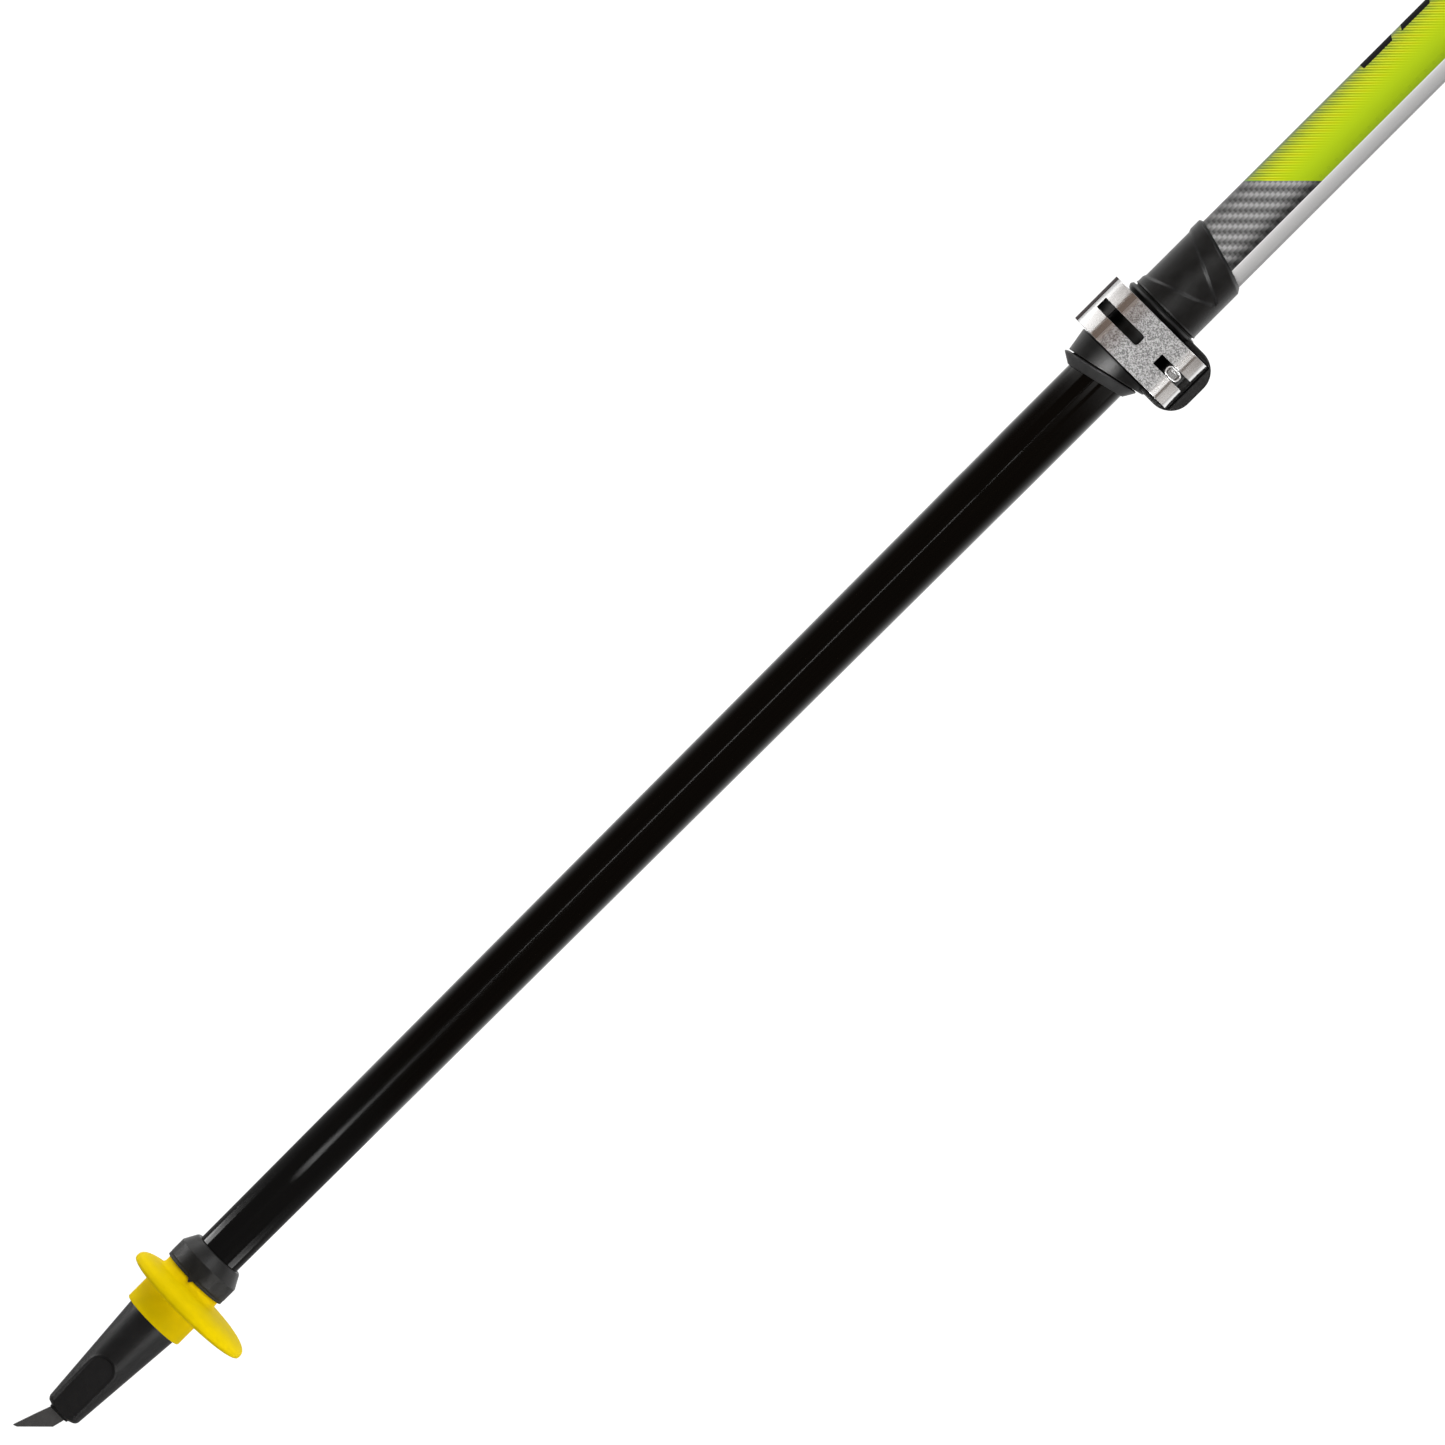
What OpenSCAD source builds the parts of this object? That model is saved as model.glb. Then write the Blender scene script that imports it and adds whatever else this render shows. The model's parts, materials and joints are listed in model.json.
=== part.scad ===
// Two-section ski pole with a lever lock, an off-centre basket and a hooked tip.
// Millimetres, +Z up the shaft from tip to grip, +X the side the blade's ground face looks to,
// -Y the side of the lever. The origin is where the shaft axis meets the blade's ground face.

/* [Shaft] */
// Outside diameter of the upper tube
upper_d = 18; // [17.6:0.1:18.4]
// Wall of the upper tube
upper_wall = 1.0; // [0.8:0.1:1.2]
// Outside diameter of the lower tube where it is parallel
lower_d = 14.65; // [14.2:0.05:14.8]
// Outside diameter of the lower tube at its tip end
lower_tip_d = 12.12; // [11.8:0.02:12.2]
// Wall of the lower tube
lower_wall = 0.9; // [0.7:0.1:1.0]
// Height of the top end of the lower tube
lower_top = 650; // [620:5:680]
// Height of the top end of the upper tube, inside the grip
upper_top = 1150; // [1146:1:1152]

/* [Tip and basket] */
// Thickness of the blade
blade_t = 3.4; // [2.8:0.1:4.0]
// Diameter of the tip body in the basket
seat_d = 14.8; // [14.4:0.1:14.8]
// Diameter of the basket's disc
disc_d = 36.1; // [34:0.1:40]
// How far the disc's centre is off the shaft axis
disc_offset = 3.7; // [2:0.1:5]
// Diameter of the collar above the basket
collar_d = 18.15; // [17.8:0.05:18.6]

/* [Clamp] */
// Height of the middle of the lever
clamp_z = 385.0; // [384.8:0.1:385.2]
// Outside diameter of the clamp round the tube
clamp_d = 19.9; // [19.7:0.1:20.1]
// Width of the slit between the two ears
slit = 1.4; // [1.0:0.1:1.6]
// Distance from the shaft axis to the cam pin
pin_x = 12.5; // [12.4:0.1:12.7]

/* [Lever] */
// Height of the lever along the shaft
lever_h = 14.6; // [14.0:0.1:14.7]
// Thickness of the lever's sheet
lever_t = 1.5; // [1.2:0.1:1.5]
// Radius of the lever's bend, outside
lever_bend = 9.5; // [9:0.1:10]
// Outside radius of the rolled end
cam_r = 4.6; // [4.5:0.05:4.6]
// How far the rolled end is off its pin
cam_throw = 0.35; // [0.2:0.05:0.35]

/* [Grip and strap] */
// Largest diameter of the hand section
grip_d = 28.4; // [27:0.1:28.6]
// Diameter of the head
head_d = 31; // [30:0.5:33]
// Width of the webbing
web_w = 20; // [18:0.5:20]
// Thickness of the webbing
web_t = 1.8; // [1.4:0.1:1.8]
// Outside radius of the bend at the foot of the strap
strap_r = 27; // [26:0.5:27]

/* [Hidden] */
$fn = 64;
eps = 0.01;
over = 1;                       // how far a cutter runs past what it cuts
upper_r = upper_d / 2;
bore_r = upper_r - upper_wall;
lower_r = lower_d / 2;

// Tip
tip_bottom = 4.8;
shoulder_r = 1.5;
cone_foot_r = 5.0;
cone_foot_z = 6.6;
seat_r = seat_d / 2;
seat_z = 37.5;                  // where the cone ends and the basket's seat starts
seat_top = 57;
pad_top = 23.5;                 // top of the thumb pad's arch
pad_w = 7.4;
pad_cut_y = 5.13;               // the pad's plane under its arch, from the axis
pad_lean = atan((seat_r - cone_foot_r) / (seat_z - cone_foot_z));
shank_r = 2.2;
shank_top = 20;

// Basket
hub_bottom = 37.6;
hub_r = 8.7;
disc_z = 46.5;                  // height of the rim
disc_up = 3.8;
disc_down = 2.0;
neck_r = 8.35;
neck_top = 52.4;
basket_bore_r = seat_r + 0.05;
key_r = 8.6;
key_z = [46.2, 48.6];
key_turn = 120;                 // where the key on the tip body stands
slot_turn = 60;                 // where the key enters the basket
key_half = 9;                   // half the key's width in degrees

// Collar over the basket
washer_z = [52.45, 53.3];
collar_z = [53.3, 57.6, 61.1];
collar_r = collar_d / 2;
collar_top_r = 7.15;

// Lower tube
taper_z = [40, 328.5, 345];     // tip end, end of the main taper, start of the parallel part
taper_step = 0.075;             // what is left of the taper after its main stretch
socket_len = 40;                // how much of the tube is glued into the tip body and the collar
plug_len = 18;
bush_len = 16;
stem_r = 5;
head_t = 3;

// Clamp
ear_z = [376.4, 394.1];
ear_x = 20.5;
ear_corner = 6.2;
ear_y = [-5.6, 7.0];
slit_y = 1.0;                   // the slit's front wall
band_r = 10;
lever_gap = 0.25;
lever_z = [clamp_z - lever_h / 2, clamp_z + lever_h / 2];
pocket_x = [7.5, 17.9];
pocket_y = -2.8;
tube_foot = 378;                // lower end of the upper tube
relief_top = 404;               // top of the slits in tube and liner
clamp_top = 415.1;              // where the oblique top crosses the axis
top_lean = 15.5;
foot_z = 373.5;                 // where the oblique foot crosses the axis
foot_lean = 12.9;
recess_depth = 0.3;
barrel_foot = 366;              // lower than any point of the foot
socket_r = upper_r - 0.4;       // the skirt's neck in the foot of the clamp
skirt_z = 370.2;
skirt_lean = 13.8;
wipe_clear = 0.08;              // room between the skirt and the lower tube
screw_z = 385.1;
screw_r = 1.5;
screw_clear = 0.1;
pin_r = 3.0;
run_clear = 0.05;
cam_y = -8.8;                   // centre of the rolled end
pin_y = cam_y - cam_throw;
plate_y = cam_y + cam_r + 0.02; // face that the rolled end bears on
washer_t = 0.8;
nut_r = 4.0;
nut_y = [ear_y[1] + washer_t + run_clear, 11.4];

// Lever
lever_front = cam_y - cam_r;
bend_x = -5;
tail_y = 0.5;
slot_z = [383.5, 386.7];
slot_x = [-12.6, 1.2];
fork_x = 7.2;

// Grip and strap
sleeve_z = [1020, 1140];
core_r = 11.5;
head_r = head_d / 2;
head_top = 1163;
cap_plug_z = 1156;              // foot of the plug that holds the cap in the head
cap_plug_r = 6;
cap_top = 1172;
ring_z = 1013;
eye = [-18.5, 1152];            // axis of the strap's pin, in the XZ plane
strap_pin_r = 1.5;
lug = [-24, -10, 1144, 1160];
lug_w = 28;
strap_slot_w = web_w + 1.6;
neck_foot = 1118;
keeper_z = [1121, 1133];
neck_end_r = 2.6;
bend_at = [-44.5, 975];         // centre of the strap's lower bend
pad_t = 2.0;
pad_gap = 0.1;                  // room between the webbing and the pad
strap_pad_w = 34;
pad_arc = [195, 345];

// ---------------------------------------------------------------- helpers

// A flat outline given as (x, z), drawn out from y0 to y1
module along_y(y0, y1) {
    translate([0, y1, 0])
        rotate([90, 0, 0])
            linear_extrude(y1 - y0)
                children();
}

// A round bar along Y at (x, z)
module rod_y(x, z, r, y0, y1) {
    translate([x, y1, z])
        rotate([90, 0, 0])
            cylinder(r = r, h = y1 - y0);
}

// A box from its low corner to its high corner
module block(low, high) {
    translate(low)
        cube(high - low);
}

// A ring about the shaft axis
module ring(r_out, r_in, z0, z1) {
    rotate_extrude()
        translate([r_in, z0])
            square([r_out - r_in, z1 - z0]);
}

// Points on an arc
function arc(c, r, a0, a1, steps = 8) =
    [for (i = [0:steps]) let (a = a0 + (a1 - a0) * i / steps) c + r * [cos(a), sin(a)]];

// A quarter of a rounded-square curve, from (a, 0) to (0, b)
function quarter(a, b, power, steps = 12) =
    [for (i = [0:steps])
        let (t = 90 * i / steps)
            [a * pow(cos(t), 2 / power), b * pow(sin(t), 2 / power)]];

// Outside radius of the lower tube at a height
function tube_r(z) =
    lookup(z, [[taper_z[0], lower_tip_d / 2], [taper_z[1], lower_r - taper_step], [taper_z[2], lower_r]]);

// ---------------------------------------------------------------- tip

module tip_blade() {
    color("slategray") blade_solid();
}

// The bent blade, with its ground face along z = x, and the shank that holds it in the plastic
module blade_solid() {
    along_y(-blade_t / 2, blade_t / 2)
        polygon([[-6.25, -5.6], [-5.2, -5.2], [1.2, 1.2], [2.1, tip_bottom], [2.1, 9], [-2.4, 9],
                 [-2.6, tip_bottom], [-4.2, 0.4]]);
    translate([0, 0, 8])
        cylinder(r = shank_r, h = shank_top - 8);
}

module tip_body() {
    color([0.24, 0.24, 0.25])
        difference() {
            union() {
                rotate_extrude()
                    polygon(concat(
                        [[0, tip_bottom], [3.1, tip_bottom]],
                        arc([cone_foot_r - shoulder_r, cone_foot_z], shoulder_r, -90, 0, 6),
                        [[seat_r, seat_z], [seat_r, seat_top], [0, seat_top]]));
                basket_key();
            }
            blade_solid();
            tube_socket();
            thumb_pad();
        }
}

// The key that turns in the basket's groove
module basket_key() {
    rotate([0, 0, key_turn - key_half])
        rotate_extrude(angle = 2 * key_half)
            translate([seat_r - over, key_z[0]])
                square([key_r - seat_r + over, key_z[1] - key_z[0]]);
}

// The room that the lower tube is glued into
module tube_socket() {
    rotate_extrude()
        polygon([[0, taper_z[0]], [tube_r(taper_z[0]), taper_z[0]],
                 [tube_r(taper_z[0] + socket_len), taper_z[0] + socket_len], [0, taper_z[0] + socket_len]]);
}

// The flat under the thumb: a leaning plane that ends in a round arch
module thumb_pad() {
    translate([0, -pad_cut_y, pad_top])
        rotate([pad_lean, 0, 0])
            translate([0, 0, -pad_top])
                along_y(-10, 0) {
                    translate([0, pad_top - pad_w / 2])
                        circle(r = pad_w / 2);
                    translate([-pad_w / 2, -10])
                        square([pad_w, pad_top - pad_w / 2 + 10]);
                }
}

module basket() {
    color("gold")
        difference() {
            union() {
                rotate_extrude()
                    polygon(concat([[0, hub_bottom]],
                        arc([hub_r - 0.95, hub_bottom + 0.8], 0.8, -90, 0, 5),
                        [[hub_r, disc_z - 1], [neck_r + 0.2, disc_z], [neck_r, disc_z + disc_up + 0.4],
                         [neck_r, neck_top - 0.2], [neck_r - 0.2, neck_top], [0, neck_top]]));
                translate([disc_offset, 0, disc_z])
                    rotate_extrude()
                        polygon(concat(quarter(disc_d / 2, disc_up, 2.8), lower_quarter()));
            }
            ring_bore();
        }
}

// The disc's underside, from the axis back out to the rim
function lower_quarter() =
    let (pts = quarter(disc_d / 2, disc_down, 3), n = len(pts))
        [for (i = [n - 1:-1:1]) [pts[i][0], -pts[i][1]]];

// The basket's bore, the groove that the key turns in and the slot that the key enters by
module ring_bore() {
    translate([0, 0, hub_bottom - over])
        cylinder(r = basket_bore_r, h = neck_top - hub_bottom + 2 * over);
    rotate([0, 0, slot_turn - key_half - 1])
        rotate_extrude(angle = key_turn - slot_turn + 2 * key_half + 2)
            translate([basket_bore_r - 0.5, key_z[0] - run_clear])
                square([key_r - basket_bore_r + 0.6, key_z[1] - key_z[0] + 2 * run_clear]);
    rotate([0, 0, slot_turn - key_half - 1])
        rotate_extrude(angle = 2 * key_half + 2)
            translate([basket_bore_r - 0.5, key_z[0]])
                square([key_r - basket_bore_r + 0.6, neck_top - key_z[0] + over]);
}

module basket_washer() {
    color([0.07, 0.07, 0.07])
        difference() {
            ring(collar_r - 0.05, seat_r, washer_z[0], washer_z[1]);
            pointer(0.05);
        }
}

module basket_collar() {
    color([0.2, 0.2, 0.2])
        difference() {
            union() {
                rotate_extrude()
                    polygon([[0, collar_z[0]], [collar_r - 0.15, collar_z[0]], [collar_r, collar_z[0] + 0.3],
                             [collar_r, collar_z[1]], [collar_top_r + 0.15, collar_z[2] - 0.25],
                             [collar_top_r - 0.15, collar_z[2]], [0, collar_z[2]]]);
                pointer(0);
            }
            translate([0, 0, collar_z[0] - over])
                cylinder(r = seat_r, h = seat_top - collar_z[0] + over);
            tube_socket();
        }
}

// The small triangular mark that points at the basket
module pointer(grow) {
    along_y(-collar_r - grow, -neck_r - 0.1)
        polygon([[-2.4 - grow, collar_z[0] + 0.5], [1.2 + grow, collar_z[0] + 0.5], [-0.6, 51.5 - grow]]);
}

// ---------------------------------------------------------------- shaft

module lower_tube() {
    color([0.05, 0.05, 0.05])
        rotate_extrude()
            polygon([
                [tube_r(taper_z[0]) - lower_wall, taper_z[0]], [tube_r(taper_z[0]), taper_z[0]],
                [tube_r(taper_z[1]), taper_z[1]], [lower_r, taper_z[2]], [lower_r, lower_top],
                [lower_r - lower_wall, lower_top], [lower_r - lower_wall, taper_z[2]],
                [tube_r(taper_z[1]) - lower_wall, taper_z[1]]]);
}

module tube_plug() {
    plug_r = lower_r - lower_wall;
    stem_top = lower_top + bush_len + 2 * run_clear;
    color("dimgray")
        rotate_extrude()
            polygon([[0, lower_top - plug_len], [plug_r - 0.6, lower_top - plug_len],
                     [plug_r, lower_top - plug_len + 1.5], [plug_r, lower_top], [stem_r, lower_top],
                     [stem_r, stem_top], [lower_r - 0.1, stem_top], [lower_r - 0.1, stem_top + head_t - 1],
                     [lower_r - 1.1, stem_top + head_t], [0, stem_top + head_t]]);
}

module guide_bush() {
    r = bore_r - run_clear;
    z = lower_top + run_clear;
    color("whitesmoke")
        rotate_extrude()
            polygon([[stem_r + run_clear, z], [r - 0.6, z], [r, z + 0.8], [r, z + bush_len - 0.8],
                     [r - 0.6, z + bush_len], [stem_r + run_clear, z + bush_len]]);
}

module upper_tube() {
    color("yellowgreen")
        difference() {
            ring(upper_r, bore_r, tube_foot, upper_top);
            block([5, slit_y, tube_foot - over], [upper_r + over, slit_y + slit, relief_top]);
        }
}

// ---------------------------------------------------------------- clamp

// The clamp's moulding: band between two flanges, ears, and the long oblique collar over the tube
module clamp_body() {
    color([0.16, 0.16, 0.16])
        difference() {
            union() {
                clamp_barrel();
                ears();
            }
            translate([0, 0, tube_foot])
                cylinder(r = upper_r, h = 60);
            translate([0, 0, tube_foot - 20])
                cylinder(r = socket_r, h = 40);
            block([5, slit_y, 360], [ear_x + over, slit_y + slit, 394.4]);
            ring(band_r + 2, 9.5, 394.4, 394.9);
            rod_y(pin_x, screw_z, screw_r + screw_clear, -20, 20);
        }
}

// The round part of the clamp, with its foot and its top cut obliquely
module clamp_barrel() {
    flange_low = lever_z[0] - lever_gap;
    flange_high = lever_z[1] + lever_gap;
    collar_low = 394.6;
    barrel_r = clamp_d / 2;
    difference() {
        intersection() {
            rotate_extrude()
                polygon([[0, barrel_foot], [9.7, barrel_foot], [9.9, 370], [11.1, flange_low - 0.3],
                         [11.0, flange_low], [band_r, flange_low], [band_r, flange_high], [10.4, flange_high],
                         [10.95, flange_high + 0.9], [10.9, flange_high + 1.2], [10.2, collar_low + 0.2],
                         [barrel_r, collar_low + 0.8], [barrel_r, 425], [0, 425]]);
            translate([0, 0, clamp_top])
                rotate([0, top_lean, 0])
                    rotate_extrude()
                        polygon([[0, -70], [40, -70], [40, -9], [10.7, -1.6], [9.25, -0.3],
                                 [8.8, 0], [0, 0]]);
            translate([0, 0, foot_z])
                rotate([0, -foot_lean, 0])
                    cylinder(r = 40, h = 80);
        }
        side_recess();
    }
}

// The shallow triangular recess that runs round the left of the collar
module side_recess() {
    intersection() {
        ring(14, clamp_d / 2 - recess_depth, 395, 420);
        along_y(-14, 14)
            polygon([[-13, 415], [6.9, 405.95], [7.9, 405.3], [8.1, 404.6], [7.5, 403.8], [3.1, 401.6],
                     [-3.1, 399.6], [-8.1, 397.6], [-13, 396.2]]);
    }
}

// Both ears in one block, with the pocket for the lever's rolled end
module ears() {
    difference() {
        along_y(ear_y[0], ear_y[1]) {
            translate([6, ear_z[0]])
                square([ear_x - ear_corner - 6, ear_z[1] - ear_z[0]]);
            translate([ear_x - ear_corner - over, ear_z[0] + ear_corner])
                square([ear_corner + over, ear_z[1] - ear_z[0] - 2 * ear_corner]);
            for (z = [ear_z[0] + ear_corner, ear_z[1] - ear_corner])
                translate([ear_x - ear_corner, z])
                    circle(r = ear_corner);
        }
        block([pocket_x[0], -20, lever_z[0] - lever_gap], [pocket_x[1], pocket_y, lever_z[1] + lever_gap]);
    }
}

module clamp_liner() {
    color("gray")
        difference() {
            ring(bore_r, lower_r + 0.035, tube_foot, relief_top);
            block([5, slit_y, tube_foot - over], [upper_r, slit_y + slit, relief_top + over]);
        }
}

// The flared ring that wipes the lower tube, leaning like the clamp's foot
module wiper_skirt() {
    color([0.25, 0.25, 0.25])
        difference() {
            intersection() {
                translate([0, 0, skirt_z])
                    rotate([0, -skirt_lean, 0])
                        rotate_extrude()
                            polygon([[0, 0], [7.9, 0], [10.3, 2.45], [10.3, 2.75], [9.6, 3.0],
                                     [8.9, 3.0], [8.9, 8], [0, 8]]);
                union() {
                    translate([0, 0, barrel_foot])
                        cylinder(r = socket_r, h = tube_foot - barrel_foot);
                    translate([0, 0, skirt_z])
                        rotate([0, -skirt_lean, 0])
                            translate([0, 0, -over])
                                cylinder(r = 12, h = 4);
                }
            }
            translate([0, 0, barrel_foot - 6])
                cylinder(r = lower_r + wipe_clear, h = 30);
        }
}

module bearing_plate() {
    color([0.12, 0.12, 0.12])
        difference() {
            block([10.2, plate_y, 378.2], [17.0, pocket_y, 391.8]);
            rod_y(pin_x, screw_z, screw_r + screw_clear, -20, 20);
        }
}

module cam_pin() {
    color("silver")
        difference() {
            translate([pin_x, pin_y, clamp_z - lever_h / 2 + 0.3])
                cylinder(r = pin_r, h = lever_h - 0.6);
            rod_y(pin_x, screw_z, screw_r, -20, 20);
            block([pin_x - 2.4, -20, slot_z[0]], [pin_x + 2.4, pin_y - pin_r + 0.4, slot_z[1]]);
        }
}

// The screw, with its oval head in front of the cam pin
module tension_screw() {
    head_y = pin_y - pin_r + 0.4;
    color("gainsboro") {
        rod_y(pin_x, screw_z, screw_r, head_y, 10.9);
        along_y(head_y - 1.2, head_y) {
            for (x = [pin_x - 0.75, pin_x + 0.75])
                translate([x, screw_z])
                    circle(r = 1.45);
            translate([pin_x - 0.75, screw_z - 1.45])
                square([1.5, 2.9]);
        }
    }
}

module tension_nut() {
    knurls = 16;
    color("silver")
        difference() {
            rod_y(pin_x, screw_z, nut_r, nut_y[0], nut_y[1]);
            rod_y(pin_x, screw_z, screw_r + run_clear, nut_y[0] - over, nut_y[1] + over);
            for (i = [0:knurls - 1])
                rod_y(pin_x + nut_r * cos(360 * i / knurls), screw_z + nut_r * sin(360 * i / knurls),
                      0.35, nut_y[0] + 0.6, nut_y[1] + over);
        }
}

module nut_washer() {
    color("lightgray")
        difference() {
            rod_y(pin_x, screw_z, nut_r + 0.4, ear_y[1], ear_y[1] + washer_t);
            rod_y(pin_x, screw_z, screw_r + screw_clear, ear_y[1] - over, ear_y[1] + 2);
        }
}

// The lever: rolled end round the pin, flat front, bend and short tail
module clamp_lever() {
    tail_x = bend_x - lever_bend;
    bend_y = lever_front + lever_bend;
    color("gainsboro")
        difference() {
            translate([0, 0, lever_z[0]])
                linear_extrude(lever_h) {
                    difference() {
                        union() {
                            translate([pin_x, cam_y])
                                circle(r = cam_r);
                            translate([bend_x, lever_front])
                                square([pin_x - bend_x, lever_t]);
                        }
                        translate([pin_x, pin_y])
                            circle(r = pin_r + run_clear);
                    }
                    intersection() {
                        translate([bend_x, bend_y])
                            difference() {
                                circle(r = lever_bend);
                                circle(r = lever_bend - lever_t);
                            }
                        translate([tail_x - over, lever_front - over])
                            square([lever_bend + over + eps, lever_bend + over + eps]);
                    }
                    translate([tail_x, bend_y])
                        square([lever_t, tail_y - bend_y]);
                }
            lever_slot();
            block([fork_x, -20, slot_z[0]], [ear_x, 0, slot_z[1]]);
            for (side = [0, 1])
                mirror_z(side)
                    tail_corner();
        }
}

// The child as it is, or mirrored about the lever's mid height
module mirror_z(side) {
    translate([0, 0, clamp_z])
        mirror([0, 0, side])
            translate([0, 0, -clamp_z])
                children();
}

// The long slot in the lever's front, with a rounded right end
module lever_slot() {
    r = 0.8;
    along_y(-20, 0) {
        translate([slot_x[0], slot_z[0]])
            square([slot_x[1] - slot_x[0] - r, slot_z[1] - slot_z[0]]);
        translate([slot_x[1] - 2 * r, slot_z[0] + r])
            square([2 * r, slot_z[1] - slot_z[0] - 2 * r]);
        for (z = [slot_z[0] + r, slot_z[1] - r])
            translate([slot_x[1] - r, z])
                circle(r = r);
    }
}

// What rounds a corner of the lever's free end
module tail_corner() {
    r = 1.6;
    translate([-30, tail_y - r, lever_z[1] - r])
        rotate([0, 90, 0])
            linear_extrude(20)
                difference() {
                    translate([-r - over, 0])
                        square([r + over, r + over]);
                    circle(r = r);
                }
}

// ---------------------------------------------------------------- grip

function sleeve_r(t) = grip_d / 2 - 0.75 + 0.75 * cos(540 * t - 20) - 0.25 * (1 - t);

module grip_sleeve() {
    steps = 24;
    h = sleeve_z[1] - sleeve_z[0];
    color([0.2, 0.2, 0.2])
        rotate_extrude()
            polygon(concat([[core_r, sleeve_z[0]]],
                [for (i = [0:steps]) [sleeve_r(i / steps), sleeve_z[0] + h * i / steps]],
                [[core_r, sleeve_z[1]]]));
}

module grip_ring() {
    color([0.1, 0.1, 0.1])
        rotate_extrude()
            polygon(concat([[upper_r, ring_z]], arc([11.4, ring_z + 2.2], 2.2, -90, 0, 5),
                [[13.9, sleeve_z[0]], [upper_r, sleeve_z[0]]]));
}

// The hard core under the hand section, the head and the lug that holds the strap's pin
module grip_core() {
    color([0.12, 0.12, 0.12])
        difference() {
            union() {
                translate([0, 0, sleeve_z[0]])
                    cylinder(r = core_r, h = sleeve_z[1] - sleeve_z[0] + 2);
                rotate_extrude()
                    polygon(concat([[0, sleeve_z[1]]],
                        arc([head_r - 2, sleeve_z[1] + 2], 2, -90, 0, 5),
                        arc([head_r - 3, head_top - 3], 3, 0, 90, 5),
                        [[0, head_top]]));
                strap_lug();
            }
            translate([0, 0, sleeve_z[0] - over])
                cylinder(r = upper_r, h = upper_top - sleeve_z[0] + over);
            translate([0, 0, cap_plug_z])
                cylinder(r = cap_plug_r, h = head_top - cap_plug_z + over);
            block([lug[0] - over, -strap_slot_w / 2, lug[2] - over],
                  [eye[0] + 5, strap_slot_w / 2, eye[1] + 5]);
            rod_y(eye[0], eye[1], strap_pin_r, -20, 20);
        }
}

// The lug behind the head, rounded at its back
module strap_lug() {
    r = 4;
    along_y(-lug_w / 2, lug_w / 2) {
        translate([lug[0] + r, lug[2]])
            square([lug[1] - lug[0] - r, lug[3] - lug[2]]);
        translate([lug[0], lug[2] + r])
            square([2 * r, lug[3] - lug[2] - 2 * r]);
        for (z = [lug[2] + r, lug[3] - r])
            translate([lug[0] + r, z])
                circle(r = r);
    }
}

module grip_cap() {
    cap_r = head_r - 2.6;
    dome_z = head_top + 1.5;
    steps = 8;
    color([0.55, 0.75, 0.1])
        rotate_extrude()
            polygon(concat(
                [[0, cap_plug_z], [cap_plug_r, cap_plug_z], [cap_plug_r, head_top], [cap_r + 0.2, head_top]],
                arc([cap_r - 0.8, head_top + 1], 1, 0, 30, 2),
                [for (a = [90 / steps:90 / steps:90])
                    [cap_r * cos(a), dome_z + (cap_top - dome_z) * sin(a)]]));
}

module strap_pin() {
    color("silver") rod_y(eye[0], eye[1], strap_pin_r, -lug_w / 2 + 0.5, lug_w / 2 - 0.5);
}

// ---------------------------------------------------------------- strap

// A closed outline round two circles: one at a of radius ra, one at b of radius rb
function belt(a, ra, b, rb) =
    let (d = b - a, turn = atan2(d[1], d[0]), open = acos((ra - rb) / norm(d)))
        concat(arc(a, ra, turn + open, turn + 360 - open, 10), arc(b, rb, turn - open, turn + open, 40));

// The webbing: an eye round the pin, a doubled neck and the loop for the hand
module wrist_strap() {
    eye_r = strap_pin_r + run_clear;
    color([0.1, 0.1, 0.1])
        along_y(-web_w / 2, web_w / 2)
            difference() {
                union() {
                    translate(eye)
                        circle(r = eye_r + web_t);
                    translate([eye[0] - web_t, neck_foot])
                        square([2 * web_t, eye[1] - neck_foot]);
                    polygon(belt([eye[0], neck_foot], neck_end_r, bend_at, strap_r));
                }
                translate(eye)
                    circle(r = eye_r);
                polygon(belt([eye[0], neck_foot], neck_end_r - web_t, bend_at, strap_r - web_t));
            }
}

module strap_pad() {
    color([0.3, 0.3, 0.3])
        translate([bend_at[0], strap_pad_w / 2, bend_at[1]])
            rotate([90, 0, 0])
                rotate([0, 0, pad_arc[0]])
                    rotate_extrude(angle = pad_arc[1] - pad_arc[0])
                        translate([strap_r - web_t - pad_t, 0])
                            square([pad_t - pad_gap, strap_pad_w]);
}

module strap_keeper() {
    wall = 1.4;
    color([0.05, 0.05, 0.05])
        difference() {
            block([eye[0] - web_t - wall, -web_w / 2 - wall, keeper_z[0]],
                  [eye[0] + web_t + wall, web_w / 2 + wall, keeper_z[1]]);
            block([eye[0] - web_t, -web_w / 2, keeper_z[0] - over],
                  [eye[0] + web_t, web_w / 2, keeper_z[1] + over]);
        }
}

// ---------------------------------------------------------------- nodes

lower_tube();
tip_body();
tip_blade();
basket();
basket_washer();
basket_collar();
tube_plug();
guide_bush();
upper_tube();
clamp_body();
clamp_liner();
wiper_skirt();
bearing_plate();
cam_pin();
tension_screw();
tension_nut();
nut_washer();
clamp_lever();
grip_core();
grip_sleeve();
grip_ring();
grip_cap();
strap_pin();
wrist_strap();
strap_pad();
strap_keeper();
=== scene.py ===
"""Looks of a two-section ski pole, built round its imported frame. Metres, +Z up the shaft, -Y towards the lever."""

import json
from math import acos, atan2, copysign, cos, degrees, exp, hypot, pi, radians, sin, sqrt

import bmesh
import bpy
from mathutils import Matrix, Vector


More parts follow.
